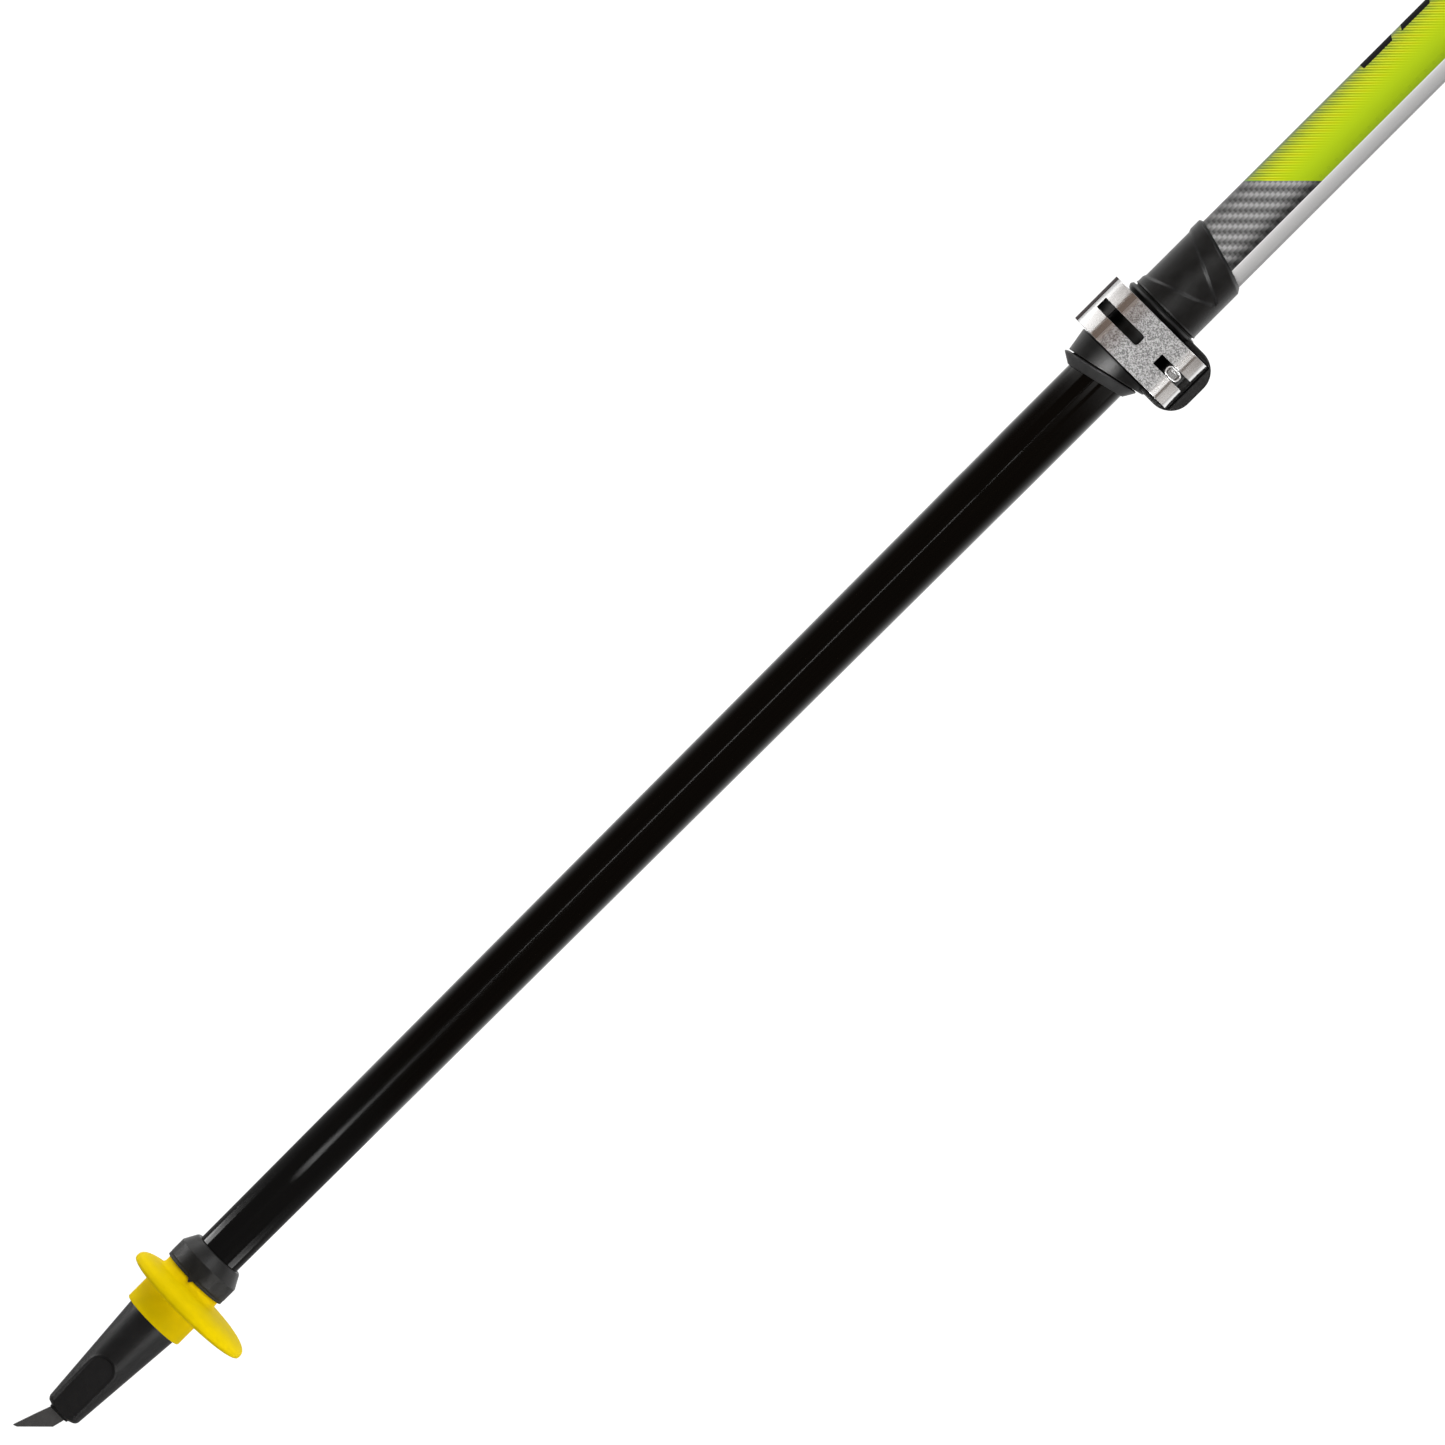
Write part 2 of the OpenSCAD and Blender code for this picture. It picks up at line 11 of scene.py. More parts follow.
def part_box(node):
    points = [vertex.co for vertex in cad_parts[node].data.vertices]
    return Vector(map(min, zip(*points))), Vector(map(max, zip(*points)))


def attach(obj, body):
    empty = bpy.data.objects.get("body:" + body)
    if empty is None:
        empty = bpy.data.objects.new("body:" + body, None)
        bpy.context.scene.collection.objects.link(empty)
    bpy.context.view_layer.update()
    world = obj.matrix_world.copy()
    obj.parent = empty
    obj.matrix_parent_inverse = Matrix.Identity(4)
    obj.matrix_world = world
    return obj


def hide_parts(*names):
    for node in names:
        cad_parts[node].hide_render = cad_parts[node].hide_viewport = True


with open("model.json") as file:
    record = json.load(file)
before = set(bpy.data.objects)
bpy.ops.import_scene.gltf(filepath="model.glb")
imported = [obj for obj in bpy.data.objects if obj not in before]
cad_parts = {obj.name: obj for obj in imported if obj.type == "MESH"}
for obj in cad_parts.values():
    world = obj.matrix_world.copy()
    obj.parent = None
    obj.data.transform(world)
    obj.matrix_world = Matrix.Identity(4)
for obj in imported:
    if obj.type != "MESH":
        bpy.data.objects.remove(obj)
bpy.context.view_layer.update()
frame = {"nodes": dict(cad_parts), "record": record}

MM = 0.001


def box_mm(node):
    """Lowest and highest corner of a CAD node, in millimetres."""
    low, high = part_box(node)
    return low / MM, high / MM


# ---- materials


class Value:
    """What a node puts out. Arithmetic on it adds Math nodes."""

    def __init__(self, nodes, socket):
        self.nodes, self.socket = nodes, socket

    def __abs__(self):
        return self.nodes.math("ABSOLUTE", self)


def arithmetic(operation, swapped):
    return lambda self, other: self.nodes.math(operation, *((other, self) if swapped else (self, other)))


for sign, operation in dict(add="ADD", sub="SUBTRACT", mul="MULTIPLY", truediv="DIVIDE", pow="POWER").items():
    setattr(Value, f"__{sign}__", arithmetic(operation, False))
    setattr(Value, f"__r{sign}__", arithmetic(operation, True))


class Nodes:
    """The node tree of a material or a world, with short calls for its nodes."""

    def __init__(self, owner):
        owner.use_nodes = True
        self.tree = owner.node_tree
        self.tree.nodes.clear()

    def set(self, node, key, value):
        """Gives an input a value, or links it when the value is another node's output."""
        socket = node.inputs[key]
        if isinstance(value, Value):
            value = value.socket
        if isinstance(value, bpy.types.NodeSocket):
            self.tree.links.new(value, socket)
        elif socket.type == "RGBA" and len(value) == 3:
            socket.default_value = (*value, 1)
        else:
            socket.default_value = value

    def add(self, kind, inputs=None, output=0, **settings):
        """A node with those settings and inputs, as the value of one of its outputs."""
        node = self.tree.nodes.new("ShaderNode" + kind)
        for key, value in settings.items():
            setattr(node, key, value)
        for key, value in (inputs or {}).items():
            self.set(node, key, value)
        return Value(self, node.outputs[output])

    def output(self, kind, shader):
        self.set(self.tree.nodes.new("ShaderNodeOutput" + kind), 0, shader)

    def by_path(self, to_camera, to_rest):
        """One shader for what the camera sees directly and another for everything else."""
        return self.add("MixShader", {0: self.add("LightPath", output="Is Camera Ray"), 1: to_rest, 2: to_camera})

    def split(self, vector):
        x = self.add("SeparateXYZ", {0: vector})
        return [Value(self, socket) for socket in x.socket.node.outputs]

    def math(self, operation, *values, clamp=False):
        return self.add("Math", dict(enumerate(values)), operation=operation, use_clamp=clamp)

    def step(self, value, low, high):
        """0 below low, 1 above high and smooth between them. With low above high it falls instead."""
        start, end = (0, 1) if low < high else (1, 0)
        inputs = {"Value": value, "From Min": min(low, high), "From Max": max(low, high),
                  "To Min": start, "To Max": end}
        return self.add("MapRange", inputs, interpolation_type="SMOOTHSTEP")

    def mix(self, amount, first, second):
        """From the first colour to the second as amount goes from 0 to 1."""
        return self.add("Mix", {0: amount, 6: first, 7: second}, 2, data_type="RGBA")

    def ramp(self, value, *stops):
        """A colour ramp whose stops are (place, colour)."""
        colour = self.add("ValToRGB", {0: value})
        elements = colour.socket.node.color_ramp.elements
        while len(elements) < len(stops):
            elements.new(0.5)
        for element, (place, shade) in zip(elements, stops):
            element.position = place
            element.color = (*shade, 1)
        return colour


class Paint(Nodes):
    """A Principled material. Places in it are in millimetres of the row frame."""

    def __init__(self, name, **constants):
        self.material = bpy.data.materials.new(name)
        super().__init__(self.material)
        self.shader = self.tree.nodes.new("ShaderNodeBsdfPrincipled")
        self.output("Material", self.shader.outputs[0])
        self.done(**constants)
        coords = self.add("TexCoord", output="Object")
        self.place = self.add("VectorMath", {0: coords, "Scale": 1 / MM}, operation="SCALE")
        self.x, self.y, self.z = self.split(self.place)

    def done(self, **inputs):
        """Links or sets the shader's inputs by name and returns the material."""
        for key, value in inputs.items():
            self.set(self.shader, key.replace("_", " "), value)
        return self.material

    def stretched(self, x, y, z):
        """The place with its three coordinates scaled, for grain that runs one way."""
        return self.add("VectorMath", {0: self.place, 1: (x, y, z)}, operation="MULTIPLY")

    def noise(self, scale, detail=3.0, place=None, roughness=0.55):
        """Smooth noise from 0 to 1. Scale is in turns a millimetre."""
        inputs = {"Vector": place or self.place, "Scale": scale, "Detail": detail, "Roughness": roughness}
        return self.add("TexNoise", inputs, "Fac")

    def cells(self, scale):
        """Distance to the nearest of scattered points, for grain made of small dots."""
        return self.add("TexVoronoi", {"Vector": self.place, "Scale": scale}, "Distance")

    def bump(self, height, depth):
        """Bumps of that depth in millimetres, on top of any earlier ones."""
        inputs = {"Distance": depth * MM, "Height": height}
        for earlier in self.shader.inputs["Normal"].links:
            inputs["Normal"] = earlier.from_socket
        self.set(self.shader, "Normal", self.add("Bump", inputs))

    def at_front(self):
        return self.math("LESS_THAN", self.y, 0)


def grey(value):
    return (value, value, value)


def moulded(name, colour, roughness, grain=0.02, mottle=0.25, specular=0.5, painted_highlight=None):
    """Moulded plastic: a fine spark-eroded grain, slightly uneven colour and, where a mask is given, a lighter patch
    that is a painted highlight.

    The last argument, called with the paint and its fine grain, gives where from 0 to 1 the plastic is painted
    lighter and a little smoother: a painted highlight.
    """
    paint = Paint(name, Specular_IOR_Level=specular)
    cloud = paint.noise(0.35, 4)
    fine = paint.noise(7.0, 4, roughness=0.7)
    dark, light = (tuple(c * share for c in colour) for share in (1 - mottle, 1 + mottle))
    base = paint.mix(paint.step(cloud, 0.3, 0.7), dark, light)
    base = paint.mix(paint.step(fine, 0.56, 0.8) * 0.5, base, tuple(min(1, c * 1.7 + 0.01) for c in colour))
    rough = cloud * 0.16 + (roughness - 0.08)
    if painted_highlight:
        # A lighter, smoother patch where asked: a painted highlight.
        highlight_spot = painted_highlight(paint, fine)
        base = paint.mix(highlight_spot, base, grey(0.10))
        rough = highlight_spot * -0.06 + rough
    paint.bump(fine, grain)
    paint.bump(paint.cells(4.5), grain * 0.7)
    return paint.done(Base_Color=base, Roughness=rough)


def clamp_foot_highlight(paint, fine):
    """The front of the clamp's foot, painted lighter there as a highlight."""
    sides = paint.step(paint.x, -6.0, -0.8) * paint.step(paint.x, 4.0, 0.2)
    ends = paint.step(paint.z, 377.9, 377.2) * paint.at_front()
    return paint.math("MULTIPLY", sides * ends, fine * 0.5 + 0.75, clamp=True)


def black_lacquer():
    """Deep gloss black over drawn tube: faint lines along the tube, fine orange peel and a warm undertone."""
    paint = Paint("black_lacquer", IOR=1.26)
    lines = paint.noise(1.0, 2, paint.stretched(2.2, 2.2, 0.012))
    base = paint.mix(lines, (0.0003, 0.00025, 0.0002), (0.0018, 0.0012, 0.0007))
    paint.bump(paint.noise(0.9, 2, paint.stretched(1, 1, 0.25)), 0.0025)
    paint.bump(paint.cells(0.9), 0.0006)
    return paint.done(Base_Color=base, Roughness=lines * 0.07 + 0.07)


GRAPHIC_FOOT = 440.3  # where the foot of the green field crosses the axis; it rises with x
STRIPE_X = 4.8        # edge of the silver stripe
BAR_X = -7.6          # right edge of the dark bars on the left side
BARS = ((472.1, 482.5), (485.8, 495.7))
SOFT = 0.06           # half the width of a printed edge's blur
RULE = 0.658          # between the green field's fine lines
ROOT_HALF = sqrt(0.5)


def round_shaft(paint):
    """The place across the print: x on the front of the tube, then on round its sides by arc length."""
    radius, turn = 9.0, radians(74)
    angle = paint.math("ARCTAN2", paint.x, paint.y * -1)
    size = abs(angle)
    front = paint.math("SINE", paint.math("MINIMUM", size, turn)) * radius
    side = paint.math("MAXIMUM", size - turn, 0) * radius
    return (front + side) * paint.math("SIGN", angle)


def twill(paint, across, along):
    """The greys of a carbon twill, two over and two under, stepping up to the right.

    Up each tow the grey climbs for two tow widths while the tow is on top, then drops where the others cross it.
    """
    tow = 0.935
    column = paint.math("FLOOR", across / tow + 0.15)
    fibre = paint.noise(7.0, 2) * 0.05 - 0.025
    climb = paint.math("FRACT", (along / tow + 0.44 - column) / 4) + fibre
    return paint.ramp(climb, (0.0, grey(0.165)), (0.125, grey(0.065)), (0.50, grey(0.225)), (0.625, grey(0.335)),
                      (0.75, grey(0.32)), (0.86, grey(0.155)))


def ripple(paint, value, period, low, high):
    """Lines at a period: 1 up to low from their middle and 0 from high on, both in periods."""
    return paint.step(paint.math("PINGPONG", value / period, 0.5), high, low)


def shaft_print():
    """The upper tube's print: carbon weave, green field with fine lines, silver stripe and plain bars, with painted
    shade towards the tube's sides.
    """
    paint = Paint("shaft_print", Specular_IOR_Level=0.12)

    def edge(value, at, way=1):
        """A printed edge: 1 above that value, or below it when way is -1."""
        return paint.step(value, at - way * SOFT, at + way * SOFT)

    across = round_shaft(paint)
    fall = paint.x / 18 + 0.5     # 0 at the tube's left edge and 1 at its right
    v = (paint.z - paint.x) * ROOT_HALF
    lean = (paint.z - across) * ROOT_HALF
    # Carbon greys brightest left of the middle and dimmer towards both sides: painted shade; the dark beside the
    # silver stripe is also the print's own.
    shade = paint.ramp(fall, (0.0, grey(0.30)), (0.06, grey(0.62)), (0.20, grey(1.05)), (0.40, grey(1.15)),
                       (0.56, grey(0.92)), (0.66, grey(0.52)), (0.72, grey(0.20)))
    carbon_colour = paint.mix(shade, grey(0.0), twill(paint, across, paint.z))
    # The green field's hue runs from deep green to lime as printed, and it darkens towards both sides: that
    # darkening is painted shade.
    green = paint.ramp(fall, (0.0, (0.07, 0.13, 0.010)), (0.07, (0.22, 0.31, 0.012)), (0.14, (0.38, 0.48, 0.010)),
                       (0.22, (0.44, 0.555, 0.007)), (0.34, (0.41, 0.54, 0.005)), (0.50, (0.355, 0.49, 0.006)),
                       (0.66, (0.285, 0.41, 0.007)), (0.76, (0.225, 0.33, 0.009)))
    front = paint.step(paint.x, -8.75, -8.0) * paint.at_front()
    fade = paint.step(across, 0.5, -7.5) * front
    warm = ripple(paint, lean, 3 * RULE, 0.05, 0.3) * paint.step(across, -1.0, -5.0) * front
    field = paint.mix(warm * 0.6, green, (0.58, 0.54, 0.002))
    leaf = ripple(paint, lean + 1.5 * RULE, 3 * RULE, 0.05, 0.24) * paint.step(across, -4.8, -7.8) * front
    field = paint.mix(leaf * 0.45, field, (0.12, 0.25, 0.03))
    field = paint.mix(ripple(paint, lean, RULE, 0.02, 0.42) * fade * 0.55, field, (0.12, 0.15, 0.003))
    glint = ripple(paint, lean + RULE / 2, RULE, 0.02, 0.3)
    field = paint.mix(glint * fade * 0.5, field, (0.80, 0.90, 0.08))
    dot_pitch = 2.83
    dot_z = paint.math("FRACT", paint.z / dot_pitch) * dot_pitch - dot_pitch / 2
    dot = paint.math("SQRT", (paint.x - 3.6) ** 2 + dot_z ** 2)
    ring = paint.step(dot, 0.46, 0.34) * paint.step(dot, 0.12, 0.26)
    field = paint.mix(ring * 0.22 * paint.at_front(), field, (0.16, 0.24, 0.01))
    foot = GRAPHIC_FOOT * ROOT_HALF
    rim = paint.step(v, foot + 0.35, foot + 0.12) * paint.step(paint.x, -4.5, -6.5)
    field = paint.mix(rim * 0.7, field, (0.09, 0.30, 0.03))
    body = paint.mix(edge(v, foot), carbon_colour, field)
    slant = paint.x * 0.7 + paint.z + 5.8
    (low, high), (next_low, next_high) = BARS
    first = edge(paint.z, low) * edge(slant, high, -1)
    second = edge(slant, next_low) * edge(slant, next_high, -1)
    bars = (first + second) * edge(paint.x, BAR_X, -1)
    body = paint.mix(bars, body, (0.001, 0.001, 0.002))
    # The silver stripe darkens towards the tube's right side: painted shade.
    silver = paint.ramp(fall, (0.79, grey(0.58)), (0.84, grey(0.48)), (0.90, grey(0.42)), (0.95, grey(0.38)),
                        (0.98, grey(0.22)))
    silver = paint.mix(paint.noise(0.8, 4) * 0.2, silver, grey(0.38))
    silver = paint.mix(paint.cells(5.0) * 0.12, silver, grey(0.65))
    silver = paint.mix(paint.step(paint.x, STRIPE_X + 0.35, STRIPE_X + 0.1), silver, grey(0.72))
    colour = paint.mix(edge(paint.x, STRIPE_X), body, silver)
    paint.bump(paint.noise(1.2, 2, paint.stretched(1, 1, 0.3)), 0.002)
    return paint.done(Base_Color=colour, Roughness=bars * 0.5 + paint.noise(2.0, 3) * 0.1 + 0.27)


def blasted_aluminium():
    """The lever's face: blasted grain on the flat, brushed round the bend and the rolled end, with a painted warm
    reflection and painted shade by the bend.
    """
    paint = Paint("blasted_aluminium", Metallic=1.0)
    flat = paint.step(paint.x, -7.6, -6.2) * paint.step(paint.x, 12.2, 10.6)
    grain = paint.noise(2.8, 2, roughness=0.8)
    fine = paint.noise(5.0, 3)
    tone = paint.mix(paint.step(grain, 0.40, 0.60), grey(0.15), grey(0.47))
    smooth = paint.mix(fine, grey(0.74), grey(0.84))
    base = paint.mix(flat, smooth, tone)
    # Round the bend a warm tint and, past it, a darker warm band: a painted reflection of the warm surround and
    # painted shade.
    bend = paint.step(paint.x, -9.5, -8.2) * paint.step(paint.x, -5.6, -7.4)
    base = paint.mix(bend * 0.42, base, (0.80, 0.62, 0.52))
    painted_shade = paint.step(paint.x, -7.4, -6.2) * paint.step(paint.x, -0.5, -4.5)
    base = paint.mix(painted_shade * 0.44, base, (0.075, 0.040, 0.028))
    base = paint.mix(paint.step(paint.x, -12.4, -13.2), base, grey(0.45))
    paint.bump(grain * flat, 0.06)
    paint.bump(paint.noise(8.0, 2, paint.stretched(1, 1, 0.08)), 0.004)
    return paint.done(Base_Color=base, Roughness=flat * 0.26 + 0.20)


def steel(name, value, roughness, warm=0.0):
    """Turned or ground steel with fine marks and small stains."""
    paint = Paint(name, Metallic=1.0)
    marks = paint.noise(3.0, 4, paint.stretched(1, 6, 1))
    cloud = paint.noise(0.7, 4)
    dark, light = ((value * share, value * (share - warm), value * (share - 2 * warm)) for share in (0.8, 1.12))
    paint.bump(marks, 0.006)
    return paint.done(Base_Color=paint.mix(cloud, dark, light), Roughness=marks * 0.2 + (roughness - 0.1))


def on_cloth(paint):
    """The place on the cloth, in millimetres, then its run along the band and its place across it."""
    place = paint.add("Attribute", output="Vector", attribute_name="cloth")
    run, across, _ = paint.split(place)
    return place, run, across


def webbing():
    """Flat woven band: chevron ribs along it, a pinstripe near each edge and a fine lint."""
    paint = Paint("webbing", Sheen_Weight=0.18, Sheen_Roughness=0.5, Specular_IOR_Level=0.25)
    place, run, across = on_cloth(paint)
    chevron = paint.math("PINGPONG", across / 1.25, 1.0)
    phase = run / 0.95 + chevron * 0.9
    rib = paint.step(paint.math("PINGPONG", phase, 0.5), 0.06, 0.42)
    valley = paint.step(abs(chevron - 0.5), 0.5, 0.40)
    height = rib * (valley * 0.5 + 0.5)
    strand = paint.noise(3.0, 3, place)
    # Lighter on the rib tops and darker down between them: painted shade in the grooves.
    base = paint.mix(height, grey(0.006), grey(0.026))
    base = paint.mix(strand * 0.5, base, grey(0.016))
    stripe = paint.step(abs(abs(across) - 7.5), 0.66, 0.56) * height
    base = paint.mix(stripe * 0.9, base, (0.30, 0.40, 0.02))
    paint.bump(height, 0.22)
    paint.bump(strand, 0.05)
    return paint.done(Base_Color=base, Roughness=strand * 0.1 + 0.68)


def pad_cloth():
    """Open spacer mesh over foam, with a plain bound hem."""
    paint = Paint("pad_cloth", Sheen_Weight=0.25, Sheen_Roughness=0.45, Specular_IOR_Level=0.2)
    place, run, across = on_cloth(paint)
    pitch = 1.5
    shift = paint.math("FLOORED_MODULO", paint.math("FLOOR", run / pitch), 2) * (pitch / 2)
    along_hole, across_hole = (paint.step(paint.math("PINGPONG", value / pitch, 0.5), 0.12, 0.40)
                               for value in (run, across + shift))
    hem = paint.step(abs(across), 15.2, 15.5)
    holes = along_hole * across_hole * (1 - hem)
    knit = paint.noise(4.0, 3, place)
    base = paint.mix(knit, grey(0.030), grey(0.070))
    # The holes are painted near black: painted shade down in them.
    base = paint.mix(holes * 0.85, base, grey(0.006))
    base = paint.mix(hem, base, paint.mix(knit, grey(0.010), grey(0.020)))
    ribs = paint.math("PINGPONG", run / 0.6, 0.5) * hem
    paint.bump(ribs * 0.6 - holes, 0.25)
    paint.bump(knit, 0.05)
    return paint.done(Base_Color=base, Roughness=knit * 0.1 + 0.8)


def sewing_thread(name, value):
    """Twisted thread: slanted plies."""
    paint = Paint(name, Sheen_Weight=0.15, Specular_IOR_Level=0.35)
    plies = paint.noise(2.5, 2, paint.stretched(1.0, 1.0, 3.0))
    base = paint.mix(plies, grey(value * 0.6), grey(value * 1.3))
    paint.bump(plies, 0.05)
    return paint.done(Base_Color=base, Roughness=plies * 0.1 + 0.5)


def closed_foam():
    """Soft grip foam: a matt skin of fine closed cells with a few larger pores."""
    paint = Paint("grip_foam", Sheen_Weight=0.12, Sheen_Roughness=0.5, Specular_IOR_Level=0.3)
    cell = paint.cells(2.6)
    pores = paint.step(paint.cells(0.9), 0.22, 0.10)
    cloud = paint.noise(0.25, 4)
    base = paint.mix(paint.step(cloud, 0.3, 0.7), grey(0.009), grey(0.016))
    base = paint.mix(paint.step(cell, 0.35, 0.1), base, grey(0.022))
    # The pores are painted darker: painted shade in the pits.
    base = paint.mix(pores * 0.8, base, grey(0.003))
    paint.bump(cell, 0.05)
    paint.bump(pores * -1, 0.08)
    return paint.done(Base_Color=base, Roughness=cloud * 0.16 + 0.60)


MATERIALS = {
    "shaft_black": black_lacquer(),
    "shaft_print": shaft_print(),
    "lever_metal": blasted_aluminium(),
    "grip_foam": closed_foam(),
    "webbing": webbing(),
    "pad_cloth": pad_cloth(),
    "neck_thread": sewing_thread("neck_thread", 0.30),
    "pad_thread": sewing_thread("pad_thread", 0.16),
}
MOULDED = (   # name, colour, roughness, and where unusual grain, mottle, specular level and painted highlight
    ("tip_plastic", (0.0045, 0.0041, 0.0043), 0.38, 0.02, 0.25, 0.32),
    ("basket_yellow", (0.94, 0.70, 0.0), 0.6, 0.003, 0.03, 0.03),
    ("washer_rubber", grey(0.004), 0.6, 0.02, 0.2),
    ("collar_plastic", (0.0085, 0.0082, 0.0077), 0.40, 0.02, 0.3, 0.32),
    ("plug_plastic", grey(0.10), 0.5),
    # the clamp's foot is painted lighter at its front: a painted highlight
    ("clamp_plastic", grey(0.0036), 0.37, 0.02, 0.3056, 0.34, clamp_foot_highlight),
    ("bush_plastic", (0.78, 0.78, 0.72), 0.4, 0.02, 0.05),
    ("liner_plastic", grey(0.25), 0.4),
    ("wiper_rubber", grey(0.014), 0.45, 0.01),
    ("plate_plastic", grey(0.02), 0.35),
    ("lever_tail", (0.030, 0.020, 0.020), 0.55, 0.02, 0.25, 0.1),
    ("grip_plastic", grey(0.012), 0.45),
    ("ring_plastic", grey(0.02), 0.4),
    ("cap_rubber", (0.34, 0.50, 0.012), 0.5, 0.02, 0.06),
    ("keeper_plastic", grey(0.012), 0.4),
)
METALS = (    # name, tone, roughness and warmth
    ("blade_metal", 0.13, 0.45, 0.008),
    ("lever_edge", 0.85, 0.25),
    ("steel", 0.6, 0.32),
    ("dark_steel", 0.07, 0.34),
    ("screw_steel", 0.34, 0.24),
    # the screw head's rim is lighter steel than the head: a painted highlight
    ("screw_rim_highlight", 0.82, 0.42),
)
MATERIALS.update({look[0]: moulded(*look) for look in MOULDED})
MATERIALS.update({look[0]: steel(*look) for look in METALS})

for part in frame["record"]["subparts"]:
    cad_node = frame["nodes"].get(part["node"])
    if cad_node:
        cad_node.data.materials.clear()
        cad_node.data.materials.append(MATERIALS[part["material_slot"]])


# ---- mesh helpers


def linked(name, data):
    """A new object with that data, in the scene."""
    obj = bpy.data.objects.new(name, data)
    bpy.context.scene.collection.objects.link(obj)
    return obj


def new_object(name, points, faces):
    """A smooth-shaded mesh object from points in millimetres."""
    mesh = bpy.data.meshes.new(name)
    mesh.from_pydata([Vector(p) * MM for p in points], [], faces)
    mesh.shade_smooth()
    return linked(name, mesh)


def rebuild(obj, work):
    """Runs work on the object's mesh as a BMesh."""
    bm = bmesh.new()
    bm.from_mesh(obj.data)
    work(bm)
    bm.to_mesh(obj.data)
    bm.free()
    return obj


def apply_modifiers(obj):
    """Turns what the modifiers make into the object's own mesh."""
    graph = bpy.context.evaluated_depsgraph_get()
    mesh = bpy.data.meshes.new_from_object(obj.evaluated_get(graph))
    obj.modifiers.clear()
    obj.data = mesh
    return obj


def copy_node(node, name):
    """A new object with the shape of a CAD node, its faces joined up and its flat faces cleaned."""
    mesh = frame["nodes"][node].data.copy()
    if "custom_normal" in mesh.attributes:
        mesh.attributes.remove(mesh.attributes["custom_normal"])
    mesh.materials.clear()

    def clean(bm):
        bmesh.ops.remove_doubles(bm, verts=bm.verts, dist=2e-6)
        bmesh.ops.dissolve_limit(bm, angle_limit=radians(0.6), verts=bm.verts, edges=bm.edges)

    return rebuild(linked(name, mesh), clean)


def bevelled(obj, width, segments=3, angle=28, edge_slot=-1):
    """Rounds the hard edges to a width in millimetres. edge_slot is the material slot of the new faces."""
    bevel = obj.modifiers.new("edges", "BEVEL")
    bevel.width = width * MM
    bevel.segments = segments
    bevel.limit_method = "ANGLE"
    bevel.angle_limit = radians(angle)
    bevel.material = edge_slot
    bevel.miter_outer = "MITER_ARC"
    apply_modifiers(obj)
    obj.data.shade_smooth()
    weighted = obj.modifiers.new("shading", "WEIGHTED_NORMAL")
    weighted.weight = 60
    return apply_modifiers(obj)


def remeshed(obj, voxel, passes):
    """An even mesh of small faces whose edges are softened by that many passes."""
    remesh = obj.modifiers.new("even", "REMESH")
    remesh.mode = "VOXEL"
    remesh.voxel_size = voxel * MM
    smooth = obj.modifiers.new("soft", "SMOOTH")
    smooth.iterations = passes
    apply_modifiers(obj)
    obj.data.shade_smooth()
    return obj


def thinned(obj, share):
    """Keeps that share of the faces, and drops the rest where the surface needs them least."""
    thin = obj.modifiers.new("thin", "DECIMATE")
    thin.ratio = share
    return apply_modifiers(obj)


def outward(obj):
    return rebuild(obj, lambda bm: bmesh.ops.recalc_face_normals(bm, faces=bm.faces))


def capped(obj):
    """Fills the open ends."""
    return rebuild(obj, lambda bm: bmesh.ops.edgeloop_fill(bm, edges=[e for e in bm.edges if e.is_boundary]))


def quads(rows, n, first=0, closed=False):
    """Faces between rings of n points. Closed joins the last ring to the first."""
    faces = []
    for j in range(rows if closed else rows - 1):
        a, b = first + j * n, first + (j + 1) % rows * n
        faces += [(a + i, a + (i + 1) % n, b + (i + 1) % n, b + i) for i in range(n)]
    return faces


def shell_faces(rows, n, first=0):
    """Faces of a closed skin over rings of n points, with both ends filled."""
    last = first + (rows - 1) * n
    return quads(rows, n, first) + [[first + i for i in range(n)][::-1], [last + i for i in range(n)]]


def shell(name, points, n):
    return outward(new_object(name, points, shell_faces(len(points) // n, n)))


def polar(name, rows, turns=160, closed=False):
    """A surface round the shaft. Each row is (radius, height), or a function that gives it at an angle from +X."""
    points = []
    for row in rows:
        for i in range(turns):
            a = 2 * pi * i / turns
            r, z = row(a) if callable(row) else row
            points.append((r * cos(a), r * sin(a), z))
    return new_object(name, points, quads(len(rows), turns, closed=closed))


def rounded(points, radius, steps=4, keep=()):
    """A closed outline with its corners rounded, apart from those listed in keep."""
    out = []
    count = len(points)
    for i, corner in enumerate(points):
        here = Vector(corner)
        if i in keep:
            out.append(tuple(here))
            continue
        before, after = Vector(points[i - 1]) - here, Vector(points[(i + 1) % count]) - here
        cut = min(radius, before.length * 0.45, after.length * 0.45)
        start, end = here + before.normalized() * cut, here + after.normalized() * cut
        for k in range(steps + 1):
            t = k / steps
            out.append(tuple(start * (1 - t) ** 2 + here * 2 * t * (1 - t) + end * t * t))
    return out


def smoothstep(low, high, value):
    t = min(1, max(0, (value - low) / (high - low)))
    return t * t * (3 - 2 * t)


def place(obj, body, nodes, slot, extra=(), finish=None):
    """The piece rides on a body, stands for CAD nodes and takes its material from a slot or from a named finish."""
    if not obj.data.materials:
        obj.data.materials.append(MATERIALS[finish or slot])
    for other in extra:
        obj.data.materials.append(MATERIALS[other])
    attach(obj, body)
    if nodes:
        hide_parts(*nodes)
    return obj


def bevelled_node(node, name, body, slot, width, segments=3, finish=None):
    """A CAD node's own shape with its edges rounded."""
    place(bevelled(copy_node(node, name), width, segments), body, [node], slot, finish=finish)


# ---- tip and basket

TIP_FOOT, TIP_TOP = 4.8, 57.0
CONE_FOOT, CONE_TOP = (5.0, 6.6), (7.4, 37.5)   # radius and height at both ends of the cone
PAD_HALF, PAD_ARCH, PAD_DEPTH, PAD_X = 3.7, 19.8, 1.15, -0.45


